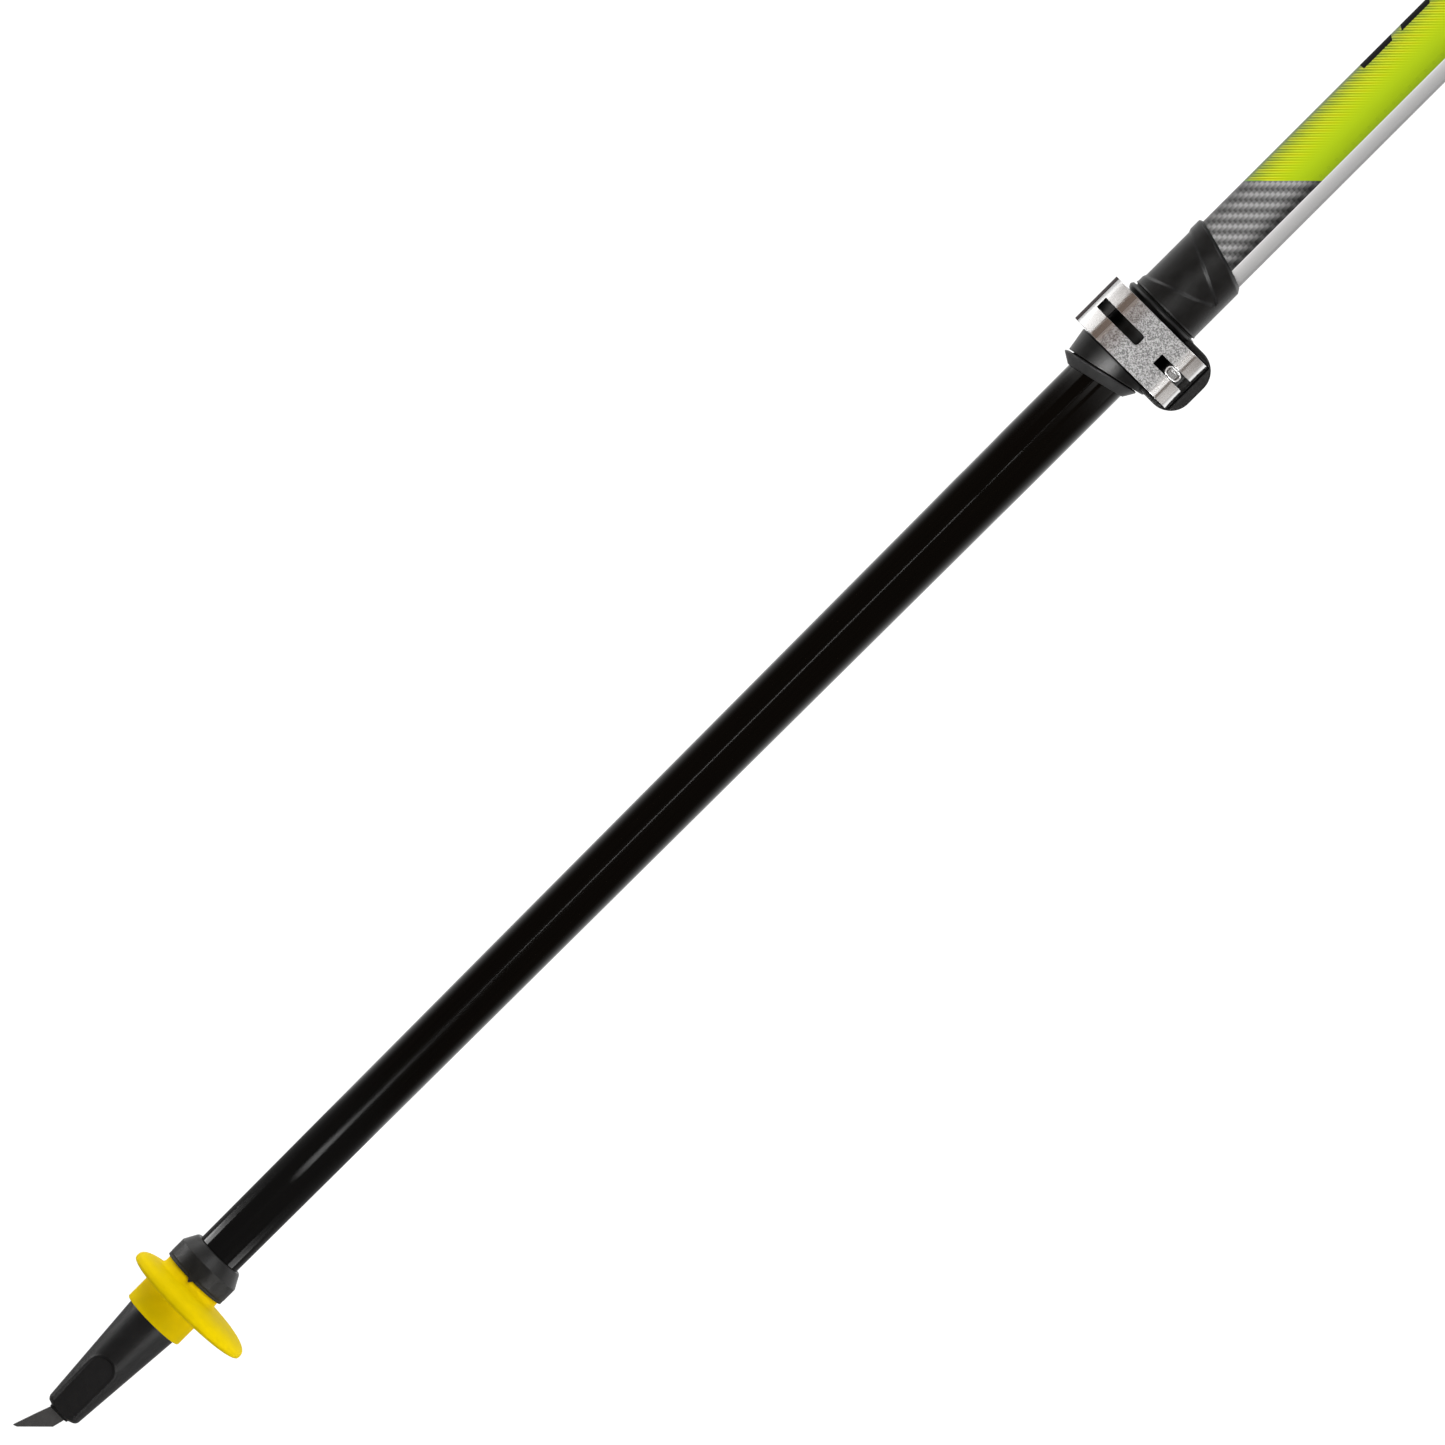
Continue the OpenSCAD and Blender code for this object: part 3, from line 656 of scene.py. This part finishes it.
def cone_radius(z):
    share = (z - CONE_FOOT[1]) / (CONE_TOP[1] - CONE_FOOT[1])
    return min(CONE_TOP[0], CONE_FOOT[0] + (CONE_TOP[0] - CONE_FOOT[0]) * share)


def pad_cut(radius, angle, z):
    """The radius where the thumb pad's flat and its thin raised rim have been worked into the cone."""
    if sin(angle) > -0.2:
        return radius
    x = radius * cos(angle) - PAD_X
    outside = hypot(x, z - PAD_ARCH) - PAD_HALF if z > PAD_ARCH else abs(x) - PAD_HALF
    flat = (cone_radius(z) - PAD_DEPTH) / -sin(angle)
    inside = smoothstep(0.12, -0.32, outside)
    rim = 0.09 * exp(-((outside - 0.1) / 0.28) ** 2)
    return radius + (min(radius, flat) - radius) * inside + rim


def make_tip_body():
    """The plastic cone with its thumb pad and rounded foot."""
    rows = [(2.0, TIP_FOOT), (3.1, TIP_FOOT)]
    for k in range(1, 9):
        t = radians(90 * k / 8)
        r, z = CONE_FOOT[0] - 1.5 + 1.5 * sin(t), CONE_FOOT[1] - 1.5 * cos(t)
        rows.append(lambda a, r=r, z=z: (pad_cut(r, a, z), z))
    for k in range(1, 83):
        rows.append(lambda a, z=CONE_FOOT[1] + k / 4: (pad_cut(cone_radius(z), a, z), z))
    rows += [(cone_radius(z), z) for z in (30, 33, 36, CONE_TOP[1] - 0.4, CONE_TOP[1] + 0.4, TIP_TOP)]
    place(capped(polar("tip_moulding", rows, 240)), "lower_section", ["tip_body"], "tip_plastic")


def make_tip_mouth():
    """The raised lip where the blade leaves the plastic."""
    half_x, half_y, corner = 2.95, 2.35, 1.0
    outline = rounded([(-half_x, -half_y), (half_x, -half_y), (half_x, half_y), (-half_x, half_y)], corner, 6)
    layers = [(1.0, 0.6), (1.0, -0.25), (0.95, -0.42), (0.86, -0.48), (0.2, -0.48)]   # size and height
    points = [(x * k - 0.15, y * k, TIP_FOOT + z) for k, z in layers for x, y in outline]
    place(shell("tip_mouth", points, len(outline)), "lower_section", [], "tip_plastic")


DISC_R, DISC_OFF, RIM_Z = 18.05, 3.7, 46.5
DISC_UP, DISC_DOWN = 3.8, 2.0
HUB_R, HUB_FOOT, NECK_R, NECK_TOP, BORE_R = 8.7, 37.6, 8.35, 52.4, 7.45


def disc_point(angle, t, rise, power):
    """Where the disc's skin is along a ray from the shaft: distance and height at turn t from the rim."""
    rho = DISC_R * cos(t) ** (2 / power)
    z = RIM_Z + rise * sin(t) ** (2 / power)
    across = DISC_OFF * sin(angle)
    return DISC_OFF * cos(angle) + sqrt(max(rho * rho - across * across, 0)), z


def disc_turn(angle, reach, power):
    """The turn from the rim at which the disc's skin is reach away from the shaft."""
    rho = sqrt(reach ** 2 + DISC_OFF ** 2 - 2 * reach * DISC_OFF * cos(angle))
    return acos(min(1, rho / DISC_R) ** (power / 2))


def skin_row(share, rise, power, reach):
    """A row of the disc's skin, share of the way from the rim to where it is reach from the shaft."""
    return lambda a: disc_point(a, disc_turn(a, reach, power) * share, rise, power)


def fillet_row(share, rise, power, radius, size):
    """A row of the soft corner between the disc's skin and the hub or neck of that radius."""
    side = 1 if rise > 0 else -1

    def row(a):
        start = Vector(disc_point(a, disc_turn(a, radius + size, power), rise, power))
        corner = Vector(disc_point(a, disc_turn(a, radius, power), rise, power))
        end = Vector((radius, corner[1] + side * size))
        return tuple(start * (1 - share) ** 2 + corner * 2 * share * (1 - share) + end * share * share)

    return row


def make_basket():
    """The off-centre basket: hub, thick soft-edged disc with blended corners, and neck."""
    rows = rounded([(BORE_R, HUB_FOOT), (HUB_R, HUB_FOOT), (HUB_R, HUB_FOOT + 3)], 0.8, 6, keep=(0, 2))[:-1]
    rows += [(HUB_R, 41), (HUB_R, 43)]
    steps = 7
    rows += [fillet_row(1 - k / steps, -DISC_DOWN, 3.0, HUB_R, 0.7) for k in range(steps)]
    rows += [skin_row(1 - k / 16, -DISC_DOWN, 3.0, HUB_R + 0.7) for k in range(16)]
    rows += [skin_row(k / 22, DISC_UP, 2.8, NECK_R + 1.3) for k in range(22)]
    rows += [fillet_row(k / steps, DISC_UP, 2.8, NECK_R, 1.3) for k in range(steps + 1)]
    rows += rounded([(NECK_R, NECK_TOP - 0.6), (NECK_R, NECK_TOP), (BORE_R, NECK_TOP)], 0.35, 5, keep=(0, 2))
    place(polar("basket_moulding", rows, 192, closed=True), "basket", ["basket"], "basket_yellow")


# ---- clamp

RECESS = [(-13.0, 415.0), (6.9, 405.95), (7.9, 405.3), (8.1, 404.6), (7.5, 403.8), (3.1, 401.6),
          (-3.1, 399.6), (-8.1, 397.6), (-13.0, 396.2)]   # the recess's outline from the front, (x, z)


def outline_distance(x, z, outline):
    """Distance to a closed outline, negative inside it."""
    nearest, inside = 1e9, False
    for i, (x1, z1) in enumerate(outline):
        x0, z0 = outline[i - 1]
        dx, dz = x1 - x0, z1 - z0
        t = min(1, max(0, ((x - x0) * dx + (z - z0) * dz) / (dx * dx + dz * dz)))
        nearest = min(nearest, hypot(x - x0 - t * dx, z - z0 - t * dz))
        if (z0 > z) != (z1 > z) and x < x0 + (z - z0) * dx / dz:
            inside = not inside
    return -nearest if inside else nearest


def make_clamp():
    """The clamp moulding, with soft edges and a crisp sunk panel on its collar."""
    clamp = remeshed(copy_node("clamp_body", "clamp_moulding"), 0.19, 2)
    collar_r, depth = 9.95, 0.38
    for vertex in clamp.data.vertices:
        x, y, z = vertex.co / MM
        r = hypot(x, y)
        if 395.8 < z < 416 and 9.4 < r < 10.2:
            d = outline_distance(x, z, RECESS)
            if d < 0.6:
                goal = collar_r - depth * min(1, max(0, (0.1 - d) / 0.75))
                vertex.co.x, vertex.co.y = x * goal / r * MM, y * goal / r * MM
    thinned(clamp, 0.4)
    place(clamp, "upper_section", ["clamp_body"], "clamp_plastic")
    skirt = remeshed(copy_node("wiper_skirt", "skirt_ring"), 0.16, 3)
    place(skirt, "upper_section", ["wiper_skirt"], "wiper_rubber")


def joined(name, objects):
    """One object from several."""
    bm = bmesh.new()
    for obj in objects:
        bm.from_mesh(obj.data)
        bpy.data.objects.remove(obj)
    mesh = bpy.data.meshes.new(name)
    bm.to_mesh(mesh)
    bm.free()
    return linked(name, mesh)


def make_backing():
    """A dark strip inside the lever's bend, seen through the left end of its slot."""
    lever_low, lever_high = box_mm("clamp_lever")
    sheet, bend = 1.5, 9.5
    centre_x, centre_y = lever_low.x + bend, lever_low.y + bend
    middle = (lever_low.z + lever_high.z) / 2
    half, outer, inner = 2.9, bend - sheet - 0.06, bend - sheet - 0.95
    section = rounded([(outer, -half), (outer, half), (inner, half), (inner, -half)], 0.3, 3)
    points, steps = [], 40
    for j in range(steps + 1):
        a = radians(176 + 62 * j / steps)
        points += [(centre_x + r * cos(a), centre_y + r * sin(a), middle + z) for r, z in section]
    return shell("lever_backing", points, len(section))


TAIL_X = -13.55       # the lever's darker tail lies to the left of it
RIB_X, RIB_W = (7.9, 8.75, 9.6), 0.35


def make_lever_parts():
    lever = bevelled(copy_node("clamp_lever", "lever"), 0.22, 3, angle=35, edge_slot=1)
    for face in lever.data.polygons:
        if face.center.x < TAIL_X * MM:
            face.material_index = 2
    place(lever, "lever", ["clamp_lever"], "lever_metal", extra=["lever_edge", "lever_tail"])
    place(make_backing(), "lever", [], "plate_plastic")
    low, high = box_mm("bearing_plate")
    ribs = []
    for x in RIB_X:
        corners = [(x, low.y + 0.1), (x + RIB_W, low.y + 0.1), (x + RIB_W, high.y), (x, high.y)]
        ribs.append(shell("rib", [(*corner, z) for z in (low.z + 0.3, high.z - 0.3) for corner in corners], 4))
    plate = bevelled(joined("bearing_insert", [copy_node("bearing_plate", "plate_copy")] + ribs), 0.12, 2)
    place(plate, "upper_section", ["bearing_plate"], "plate_plastic")
    # The cam bolt takes darker steel than the nut and washer.
    bevelled_node("cam_pin", "cam_bolt", "tension_screw", "steel", 0.15, finish="dark_steel")
    bevelled_node("tension_nut", "knurled_nut", "tension_nut", "steel", 0.1, 2)
    bevelled_node("nut_washer", "washer_disc", "upper_section", "steel", 0.1, 2)


def make_screw():
    """The tension screw: threaded shank and an oval head with a raised rim and a sunk two-lobed drive."""
    low, high = box_mm("tension_screw")
    x0, z0 = (low.x + high.x) / 2, (low.z + high.z) / 2
    half_w, half_h, head, turns = (high.x - low.x) / 2, 1.45, 1.2, 96

    oval = []     # the head's outline
    for i in range(turns):
        c, s = cos(2 * pi * i / turns), sin(2 * pi * i / turns)
        oval.append((half_w * copysign(abs(c) ** 0.68, c), half_h * copysign(abs(s) ** 0.68, s)))

    def face_height(x, z, k):
        """The raised rim, and the drive: a slot that widens towards both its ends."""
        rim = 0.22 * smoothstep(0.74, 0.84, k) * smoothstep(1.02, 0.9, k)
        waist = 0.42 + 0.42 * min(1, abs(x) / 1.2) ** 2
        sunk = smoothstep(-0.12, 0.12, waist - abs(z)) * smoothstep(-0.12, 0.12, 1.42 - abs(x))
        return rim - 0.42 * sunk

    points = []
    rings = [(1.0, head), (1.0, 0.32), (0.985, 0.2), (0.95, 0.08)]   # size and depth
    for k, down in rings:
        points += [(x0 + x * k, low.y + down, z0 + z * k) for x, z in oval]
    scales = [0.92 - 0.92 * j / 40 for j in range(40)]
    for k in scales:
        points += [(x0 + x * k, low.y + 0.25 - face_height(x * k, z * k, k) * 0.8, z0 + z * k) for x, z in oval]
    head_piece = shell("head", points, turns)
    # The rim's faces take a lighter steel than the head: a painted highlight.
    rim_bands = len(rings) + sum(k > 0.76 for k in scales)
    for face in head_piece.data.polygons:
        face.material_index = int(face.index < rim_bands * turns)

    pitch, steps, sides, radius = 0.5, 6, 36, 1.5
    length = high.y - low.y - head
    rows = int(length / pitch * steps)
    points = []
    for j in range(rows + 1):
        y = low.y + head - 0.1 + (length + 0.1) * j / rows
        threaded = smoothstep(-3, -2, y)
        for i in range(sides):
            a = 2 * pi * i / sides
            cut = 0.5 - 0.5 * cos(2 * pi * (y / pitch - i / sides))
            r = radius - 0.16 * cut * threaded - (0.25 if j in (0, rows) else 0)
            points.append((x0 + r * cos(a), y, z0 + r * sin(a)))
    screw = joined("oval_head_screw", [head_piece, shell("shank", points, sides)])
    place(screw, "tension_screw", ["tension_screw"], "screw_steel", extra=["screw_rim_highlight"])


# ---- grip and strap


def make_grip():
    """The soft hand section with its moulded diamonds, and the core and ring round it."""
    low, high = box_mm("grip_sleeve")
    bottom, top = low.z, high.z
    widest = high.x
    inner = 11.5

    def sleeve_row(t):
        swell = widest - 0.75 + 0.75 * cos(radians(540 * t - 20)) - 0.25 * (1 - t)
        z = bottom + (top - bottom) * t
        worked = smoothstep(0.06, 0.1, t) * smoothstep(0.94, 0.9, t)
        groove = 0.35 * exp(-((t - 0.05) / 0.006) ** 2) + 0.35 * exp(-((t - 0.95) / 0.006) ** 2)
        edge = 0.9 * (smoothstep(0.008, 0, t) + smoothstep(0.992, 1, t))

        def row(a):
            weave = cos(20 * a + z * 1.15) * cos(20 * a - z * 1.15)
            return swell - 0.26 * worked * smoothstep(0.35, -0.1, abs(weave)) - groove - edge, z

        return row

    shares = [0, 0.004, 0.008, *(0.012 + 0.976 * k / 200 for k in range(201)), 0.992, 0.996, 1]
    rows = [(inner, bottom), *map(sleeve_row, shares), (inner, top)]
    sleeve = polar("grip_foam_sleeve", rows, 240, closed=True)
    place(sleeve, "upper_section", ["grip_sleeve"], "grip_foam")

    core = thinned(remeshed(copy_node("grip_core", "grip_head"), 0.36, 5), 0.16)
    place(core, "upper_section", ["grip_core"], "grip_plastic")
    bevelled_node("grip_ring", "grip_collar", "upper_section", "ring_plastic", 0.3)


def make_cap():
    """The cap's dome with a fine groove, and short ribs round its side."""
    low, high = box_mm("grip_cap")
    widest, foot = high.x, high.z - 9
    dome_foot, plug_r = foot + 1.6, 6

    def ribbed(r, z, depth):
        return lambda a: (r - depth * (0.5 - 0.5 * cos(60 * a)) ** 2, z)

    rows = [(0.05, low.z), (plug_r - 0.4, low.z), (plug_r, low.z + 0.4), (plug_r, foot), (widest - 0.6, foot),
            (widest - 0.15, foot + 0.1), ribbed(widest, foot + 0.35, 0.12), ribbed(widest, foot + 0.9, 0.2),
            ribbed(widest, dome_foot, 0.12)]
    steps = 60
    for k in range(1, steps):
        t = radians(90 * k / steps)
        groove = 0.22 * exp(-((k - 16) / 1.1) ** 2) + 0.5 * smoothstep(44, 50, k) * smoothstep(64, 52, k)
        rows.append((widest * cos(t), dome_foot + (high.z - dome_foot) * sin(t) - groove))
    rows.append((0.05, rows[-1][1]))
    place(capped(polar("cap_dome", rows, 180)), "upper_section", ["grip_cap"], "cap_rubber")


# ---- wrist strap

EYE = Vector((-18.5, 0, 1152))        # the strap's pin
NECK = Vector((-18.5, 0, 1118))       # where the two layers part
BEND = Vector((-44.5, 0, 975))        # centre of the lower bend
EYE_R, FORK_R, BEND_R = 2.45, 1.7, 26.1   # the webbing's middle round each of them
WEB_W, WEB_T = 20.0, 1.8


def on_circle(centre, radius, angle):
    """The point of an XZ circle at that many degrees from +X."""
    a = radians(angle)
    return centre + Vector((cos(a), 0, sin(a))) * radius


def arc_points(centre, radius, start, end, steps):
    """Points of an XZ arc, both ends included."""
    return [on_circle(centre, radius, start + (end - start) * k / steps) for k in range(steps + 1)]


def strap_line():
    """The middle of the webbing: over the pin, down the neck, round the hand and back up."""
    leg = BEND - NECK
    turn = degrees(atan2(leg.z, leg.x))
    spread = degrees(acos((FORK_R - BEND_R) / leg.length))
    front, back = turn + spread, turn - spread
    line = arc_points(EYE, EYE_R, 240, -60, 30)
    line += [EYE + Vector((0.95, 0, -3.6)), EYE + Vector((0.9, 0, -6))]
    line += [NECK + Vector((0.9, 0, z)) for z in (20, 12, 6, 3)]
    down, up = ([on_circle(NECK, FORK_R, angle).lerp(on_circle(BEND, BEND_R, angle), k / 36) for k in range(37)]
                for angle in (front, back))
    line += down + arc_points(BEND, BEND_R, front, back, 80)[1:-1] + up[::-1]
    line += [NECK + Vector((-0.9, 0, z)) for z in (3, 6, 12, 20)]
    line += [EYE + Vector((-0.9, 0, -6)), EYE + Vector((-0.95, 0, -3.6))]
    return line


def band_section(width, thick, edge=0.75, across=10, turns=5):
    """The outline of a flat band with soft edges, as (across, out) points."""
    flat, half_t = width / 2 - edge, thick / 2
    out = []
    for side in (1, -1):
        out += [(side * (2 * flat * k / across - flat), side * half_t) for k in range(across + 1)]
        for k in range(1, turns):
            a = radians(90 - 180 * k / turns)
            out.append((side * (flat + edge * cos(a)), side * half_t * sin(a)))
    return out


def band(name, line, section):
    """A closed band along a line in the XZ plane, with its run and its width stored for the weave."""
    count, run = len(line), 0.0
    points, runs = [], []
    for j, here in enumerate(line):
        tangent = (line[(j + 1) % count] - line[j - 1]).normalized()
        normal = Vector((tangent.z, 0, -tangent.x))
        for across, out in section:
            points.append(here + normal * out + Vector((0, across, 0)))
            runs.append((run, across, out))
        run += (line[(j + 1) % count] - here).length
    obj = new_object(name, points, quads(count, len(section), closed=True))
    store_runs(obj, runs)
    return outward(obj)


def store_runs(obj, runs):
    """Keeps each point's place on the cloth, in millimetres, for the weave to follow."""
    layer = obj.data.attributes.new("cloth", "FLOAT_VECTOR", "POINT")
    layer.data.foreach_set("vector", [value for place in runs for value in place])


def thread(name, stitches, radius=0.24):
    """Sewing thread: each stitch is a low arch between two points, lifted along a normal."""
    sides, stations = 6, 5
    points, faces = [], []
    for start, end, normal in stitches:
        along = (end - start).normalized()
        side = along.cross(normal).normalized()
        base = len(points)
        for j in range(stations):
            t = j / (stations - 1)
            bulge = sin(pi * t)
            centre = start.lerp(end, t) + normal * (bulge * radius * 1.1 - radius * 0.6)
            r = radius * (0.45 + 0.55 * bulge)
            for i in range(sides):
                a = 2 * pi * i / sides
                points.append(centre + (side * cos(a) + normal * sin(a)) * r)
        faces += shell_faces(stations, sides, base)
    return outward(new_object(name, points, faces))


def make_strap():
    """The woven band, the box of stitches that closes its neck, and the sliding keeper."""
    webbing = band("wrist_webbing", strap_line(), band_section(WEB_W, WEB_T))
    place(webbing, "strap", ["wrist_strap"], "webbing")
    stitches = []
    x_out, low, high, half, pitch = WEB_T, 1134.2, 1142.4, 7.5, 1.9
    for side in (-1, 1):
        normal = Vector((side, 0, 0))
        corners = [Vector((EYE.x + side * x_out, y, z)) for y, z in
                   ((-half, low), (half, low), (half, high), (-half, high))]
        for i, j in ((0, 1), (1, 2), (2, 3), (3, 0), (0, 2), (1, 3)):
            start, end = corners[i], corners[j]
            number = round((end - start).length / pitch)
            for k in range(number):
                stitches.append((start.lerp(end, (k + 0.12) / number), start.lerp(end, (k + 0.88) / number), normal))
    place(thread("neck_stitches", stitches), "strap", [], "webbing", finish="neck_thread")
    bevelled_node("strap_keeper", "keeper_ring", "strap", "keeper_plastic", 0.6, 4)


PAD_START, PAD_END = 195.0, 345.0
PAD_W, PAD_OUT, PAD_T = 34.0, 25.1, 1.9
CHANNELS = (-9.5, 9.5)               # sewn lines along the pad


def pad_point(u, v, side):
    """A point of the pad, u from -1 to 1 along it, v across it, side +1 towards the webbing and -1 the hand."""
    middle, half = radians((PAD_START + PAD_END) / 2), radians((PAD_END - PAD_START) / 2)
    edge = max(0.0, 1 - (abs(u) ** 7 + abs(v) ** 7)) ** 0.42
    y = v * PAD_W / 2
    seam = sum(exp(-((y - c) / 0.9) ** 2) for c in CHANNELS)
    hem = exp(-((1 - max(abs(u) * 0.985 + 0.015, abs(v))) / 0.075 - 1.1) ** 2 * 2.2)
    puff = 1 - 0.25 * seam if side > 0 else 1.45 - 0.7 * seam - 0.5 * hem
    out = PAD_OUT - PAD_T / 2 + side * PAD_T / 2 * edge * puff
    angle = middle + half * u
    return BEND + Vector((out * cos(angle), y, out * sin(angle)))


def make_pad():
    """The soft lining under the hand: crowned between its sewn channels and thin at its hem."""
    along, across = 110, 64
    points, runs, faces = [], [], []
    length = BEND_R * radians(PAD_END - PAD_START)

    def corner_round(u, v):
        """Pulls the grid's corners in so that the pad's corners are round."""
        k = 1 - 0.035 * (u * u * v * v) ** 2
        return u * (1 - 0.02 * v ** 8), v * (1 - 0.05 * u ** 8) * k

    for side in (1, -1):
        for i in range(along + 1):
            for j in range(across + 1):
                u, v = corner_round(-1 + 2 * i / along, -1 + 2 * j / across)
                points.append(pad_point(u, v, side))
                runs.append((u * length / 2, v * PAD_W / 2, 0))
    row = across + 1
    sheet_size = (along + 1) * row
    for i in range(along):
        for j in range(across):
            a = i * row + j
            faces.append((a, a + 1, a + row + 1, a + row))
            b = a + sheet_size
            faces.append((b, b + row, b + row + 1, b + 1))
    pad = new_object("hand_pad", points, faces)
    store_runs(pad, runs)
    rebuild(pad, lambda bm: (bmesh.ops.remove_doubles(bm, verts=bm.verts, dist=3e-6),
                             bmesh.ops.recalc_face_normals(bm, faces=bm.faces)))
    place(pad, "strap", ["strap_pad"], "pad_cloth")
    stitches = []
    for y in (-PAD_W / 2 + 1.9, *CHANNELS, PAD_W / 2 - 1.9):
        v = y / (PAD_W / 2)
        number = 25
        for k in range(number):
            u0, u1 = (-0.93 + 1.86 * (k + share) / number for share in (0.14, 0.86))
            start, end = pad_point(u0, v, -1), pad_point(u1, v, -1)
            normal = (BEND - start) * Vector((1, 0, 1))
            stitches.append((start, end, normal.normalized()))
    place(thread("pad_stitches", stitches, 0.2), "strap", [], "pad_cloth", finish="pad_thread")


make_tip_body()
make_tip_mouth()
bevelled_node("tip_blade", "blade", "lower_section", "blade_metal", 0.16, 2)
make_basket()
bevelled_node("basket_collar", "collar_moulding", "lower_section", "collar_plastic", 0.22)
bevelled_node("basket_washer", "washer_ring", "lower_section", "washer_rubber", 0.08, 2)
make_clamp()
make_lever_parts()
make_screw()
make_grip()
make_cap()
make_strap()
make_pad()


# ---- stage

FLOOR_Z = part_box("tip_blade")[0].z
WHITE = 1.1              # how bright the camera sees the floor and the surround


def make_floor():
    """A plain white round floor."""
    floor = linked("floor", bpy.data.meshes.new("floor"))
    rebuild(floor, lambda bm: bmesh.ops.create_circle(bm, cap_ends=True, segments=64, radius=1.3))
    floor.location.z = FLOOR_Z - 0.0002
    material = bpy.data.materials.new("floor_white")
    nodes = Nodes(material)
    seen = nodes.add("Emission", {"Strength": WHITE})
    nodes.output("Material", nodes.by_path(seen, nodes.add("BsdfDiffuse", {"Color": grey(0.42)})))
    floor.data.materials.append(material)


def make_world():
    """A white surround: bright overhead, bright at the back, and dark and warm at the front near the horizon."""
    world = bpy.data.worlds.new("studio")
    bpy.context.scene.world = world
    nodes = Nodes(world)
    x, y, z = nodes.split(nodes.add("TexCoord", output="Generated"))
    from_front = abs(nodes.math("ARCTAN2", x, y * -1)) * (180 / pi)
    horizon = nodes.mix(nodes.step(from_front, 82, 128), (0.16, 0.13, 0.11), grey(1.1))
    surround = nodes.mix(nodes.step(abs(z), 0.25, 0.75), horizon, (0.5, 0.5, 0.51))
    seen = nodes.add("Background", {"Color": grey(1), "Strength": WHITE})
    nodes.output("World", nodes.by_path(seen, nodes.add("Background", {"Color": surround})))


def make_light(name, azimuth, elevation, distance, width, height, power, aim):
    """An area light at that azimuth from the front, facing aim."""
    light = bpy.data.lights.new(name, "AREA")
    light.shape = "RECTANGLE"
    light.size, light.size_y = width, height
    light.energy = power
    lamp = linked(name, light)
    a, e = radians(azimuth), radians(elevation)
    back = Vector((sin(a) * cos(e), -cos(a) * cos(e), sin(e)))
    lamp.location = aim + back * distance
    lamp.rotation_mode = "QUATERNION"
    lamp.rotation_quaternion = (-back).to_track_quat("-Z", "Y")
    lamp.visible_camera = False


AIM = Vector((-0.0052, 0, 0.2443))
CLAMP_Z, BASKET = 0.385, Vector((0, 0, 0.014))
LIGHTS = (    # name, azimuth, elevation, distance, width, height, power and what it faces
    ("front_strip", -6, -2.8, 2.4, 0.055, 0.29, 0.72, AIM),
    ("front_soft", 5, 38, 1.6, 0.8, 0.5, 9, AIM),
    ("left_soft", -100, 32, 1.4, 0.9, 0.5, 4, AIM),
    ("right_soft", 98, 32, 1.4, 0.9, 0.5, 2, AIM),
    ("low_soft", 180, -85, 0.40, 0.20, 0.7, 8.4, Vector((-0.03, -0.735, 0.4245))),
    ("lever_left", -84, -2, 0.30, 0.40, 0.02, 0.055, Vector((-0.012, 0, CLAMP_Z))),
    ("lever_right", 62, -2, 0.30, 0.36, 0.02, 0.024, Vector((0.012, 0, CLAMP_Z))),
    ("lever_front", 6, -2, 0.30, 0.10, 0.02, 0.013, Vector((0.012, 0, CLAMP_Z))),
    ("tip_soft", 45, -2, 0.2, 0.06, 0.02, 0.09, Vector((0, 0, 0.019))),
    ("basket_left", -95, 0, 0.35, 0.22, 0.03, 0.30, BASKET),
    ("basket_right", 85, 0, 0.35, 0.22, 0.03, 0.12, BASKET),
)
VIEW_WIDTH = 0.36035     # what the frame spans at the shaft
CAMERA_DISTANCE = 3.3
CAMERA_RAISE = 2.6       # degrees above the aim
ROLL_RIGHT = Vector((0.7060, 0, 0.7082))


def make_camera():
    """Far off in front of the lever, rolled so that the pole runs to the upper right."""
    camera = bpy.data.cameras.new("camera")
    camera.lens = camera.sensor_width * CAMERA_DISTANCE / VIEW_WIDTH
    camera.clip_start, camera.clip_end = 0.1, 50
    eye = linked("camera", camera)
    e = radians(CAMERA_RAISE)
    back = Vector((0, -cos(e), sin(e)))
    right = (ROLL_RIGHT - back * ROLL_RIGHT.dot(back)).normalized()
    turned = Matrix((right, back.cross(right), back)).transposed()
    eye.matrix_world = Matrix.Translation(AIM + back * CAMERA_DISTANCE) @ turned.to_4x4()
    bpy.context.scene.camera = eye


make_floor()
make_world()
for settings in LIGHTS:
    make_light(*settings)
make_camera()
bpy.context.scene.view_settings.view_transform = "Standard"
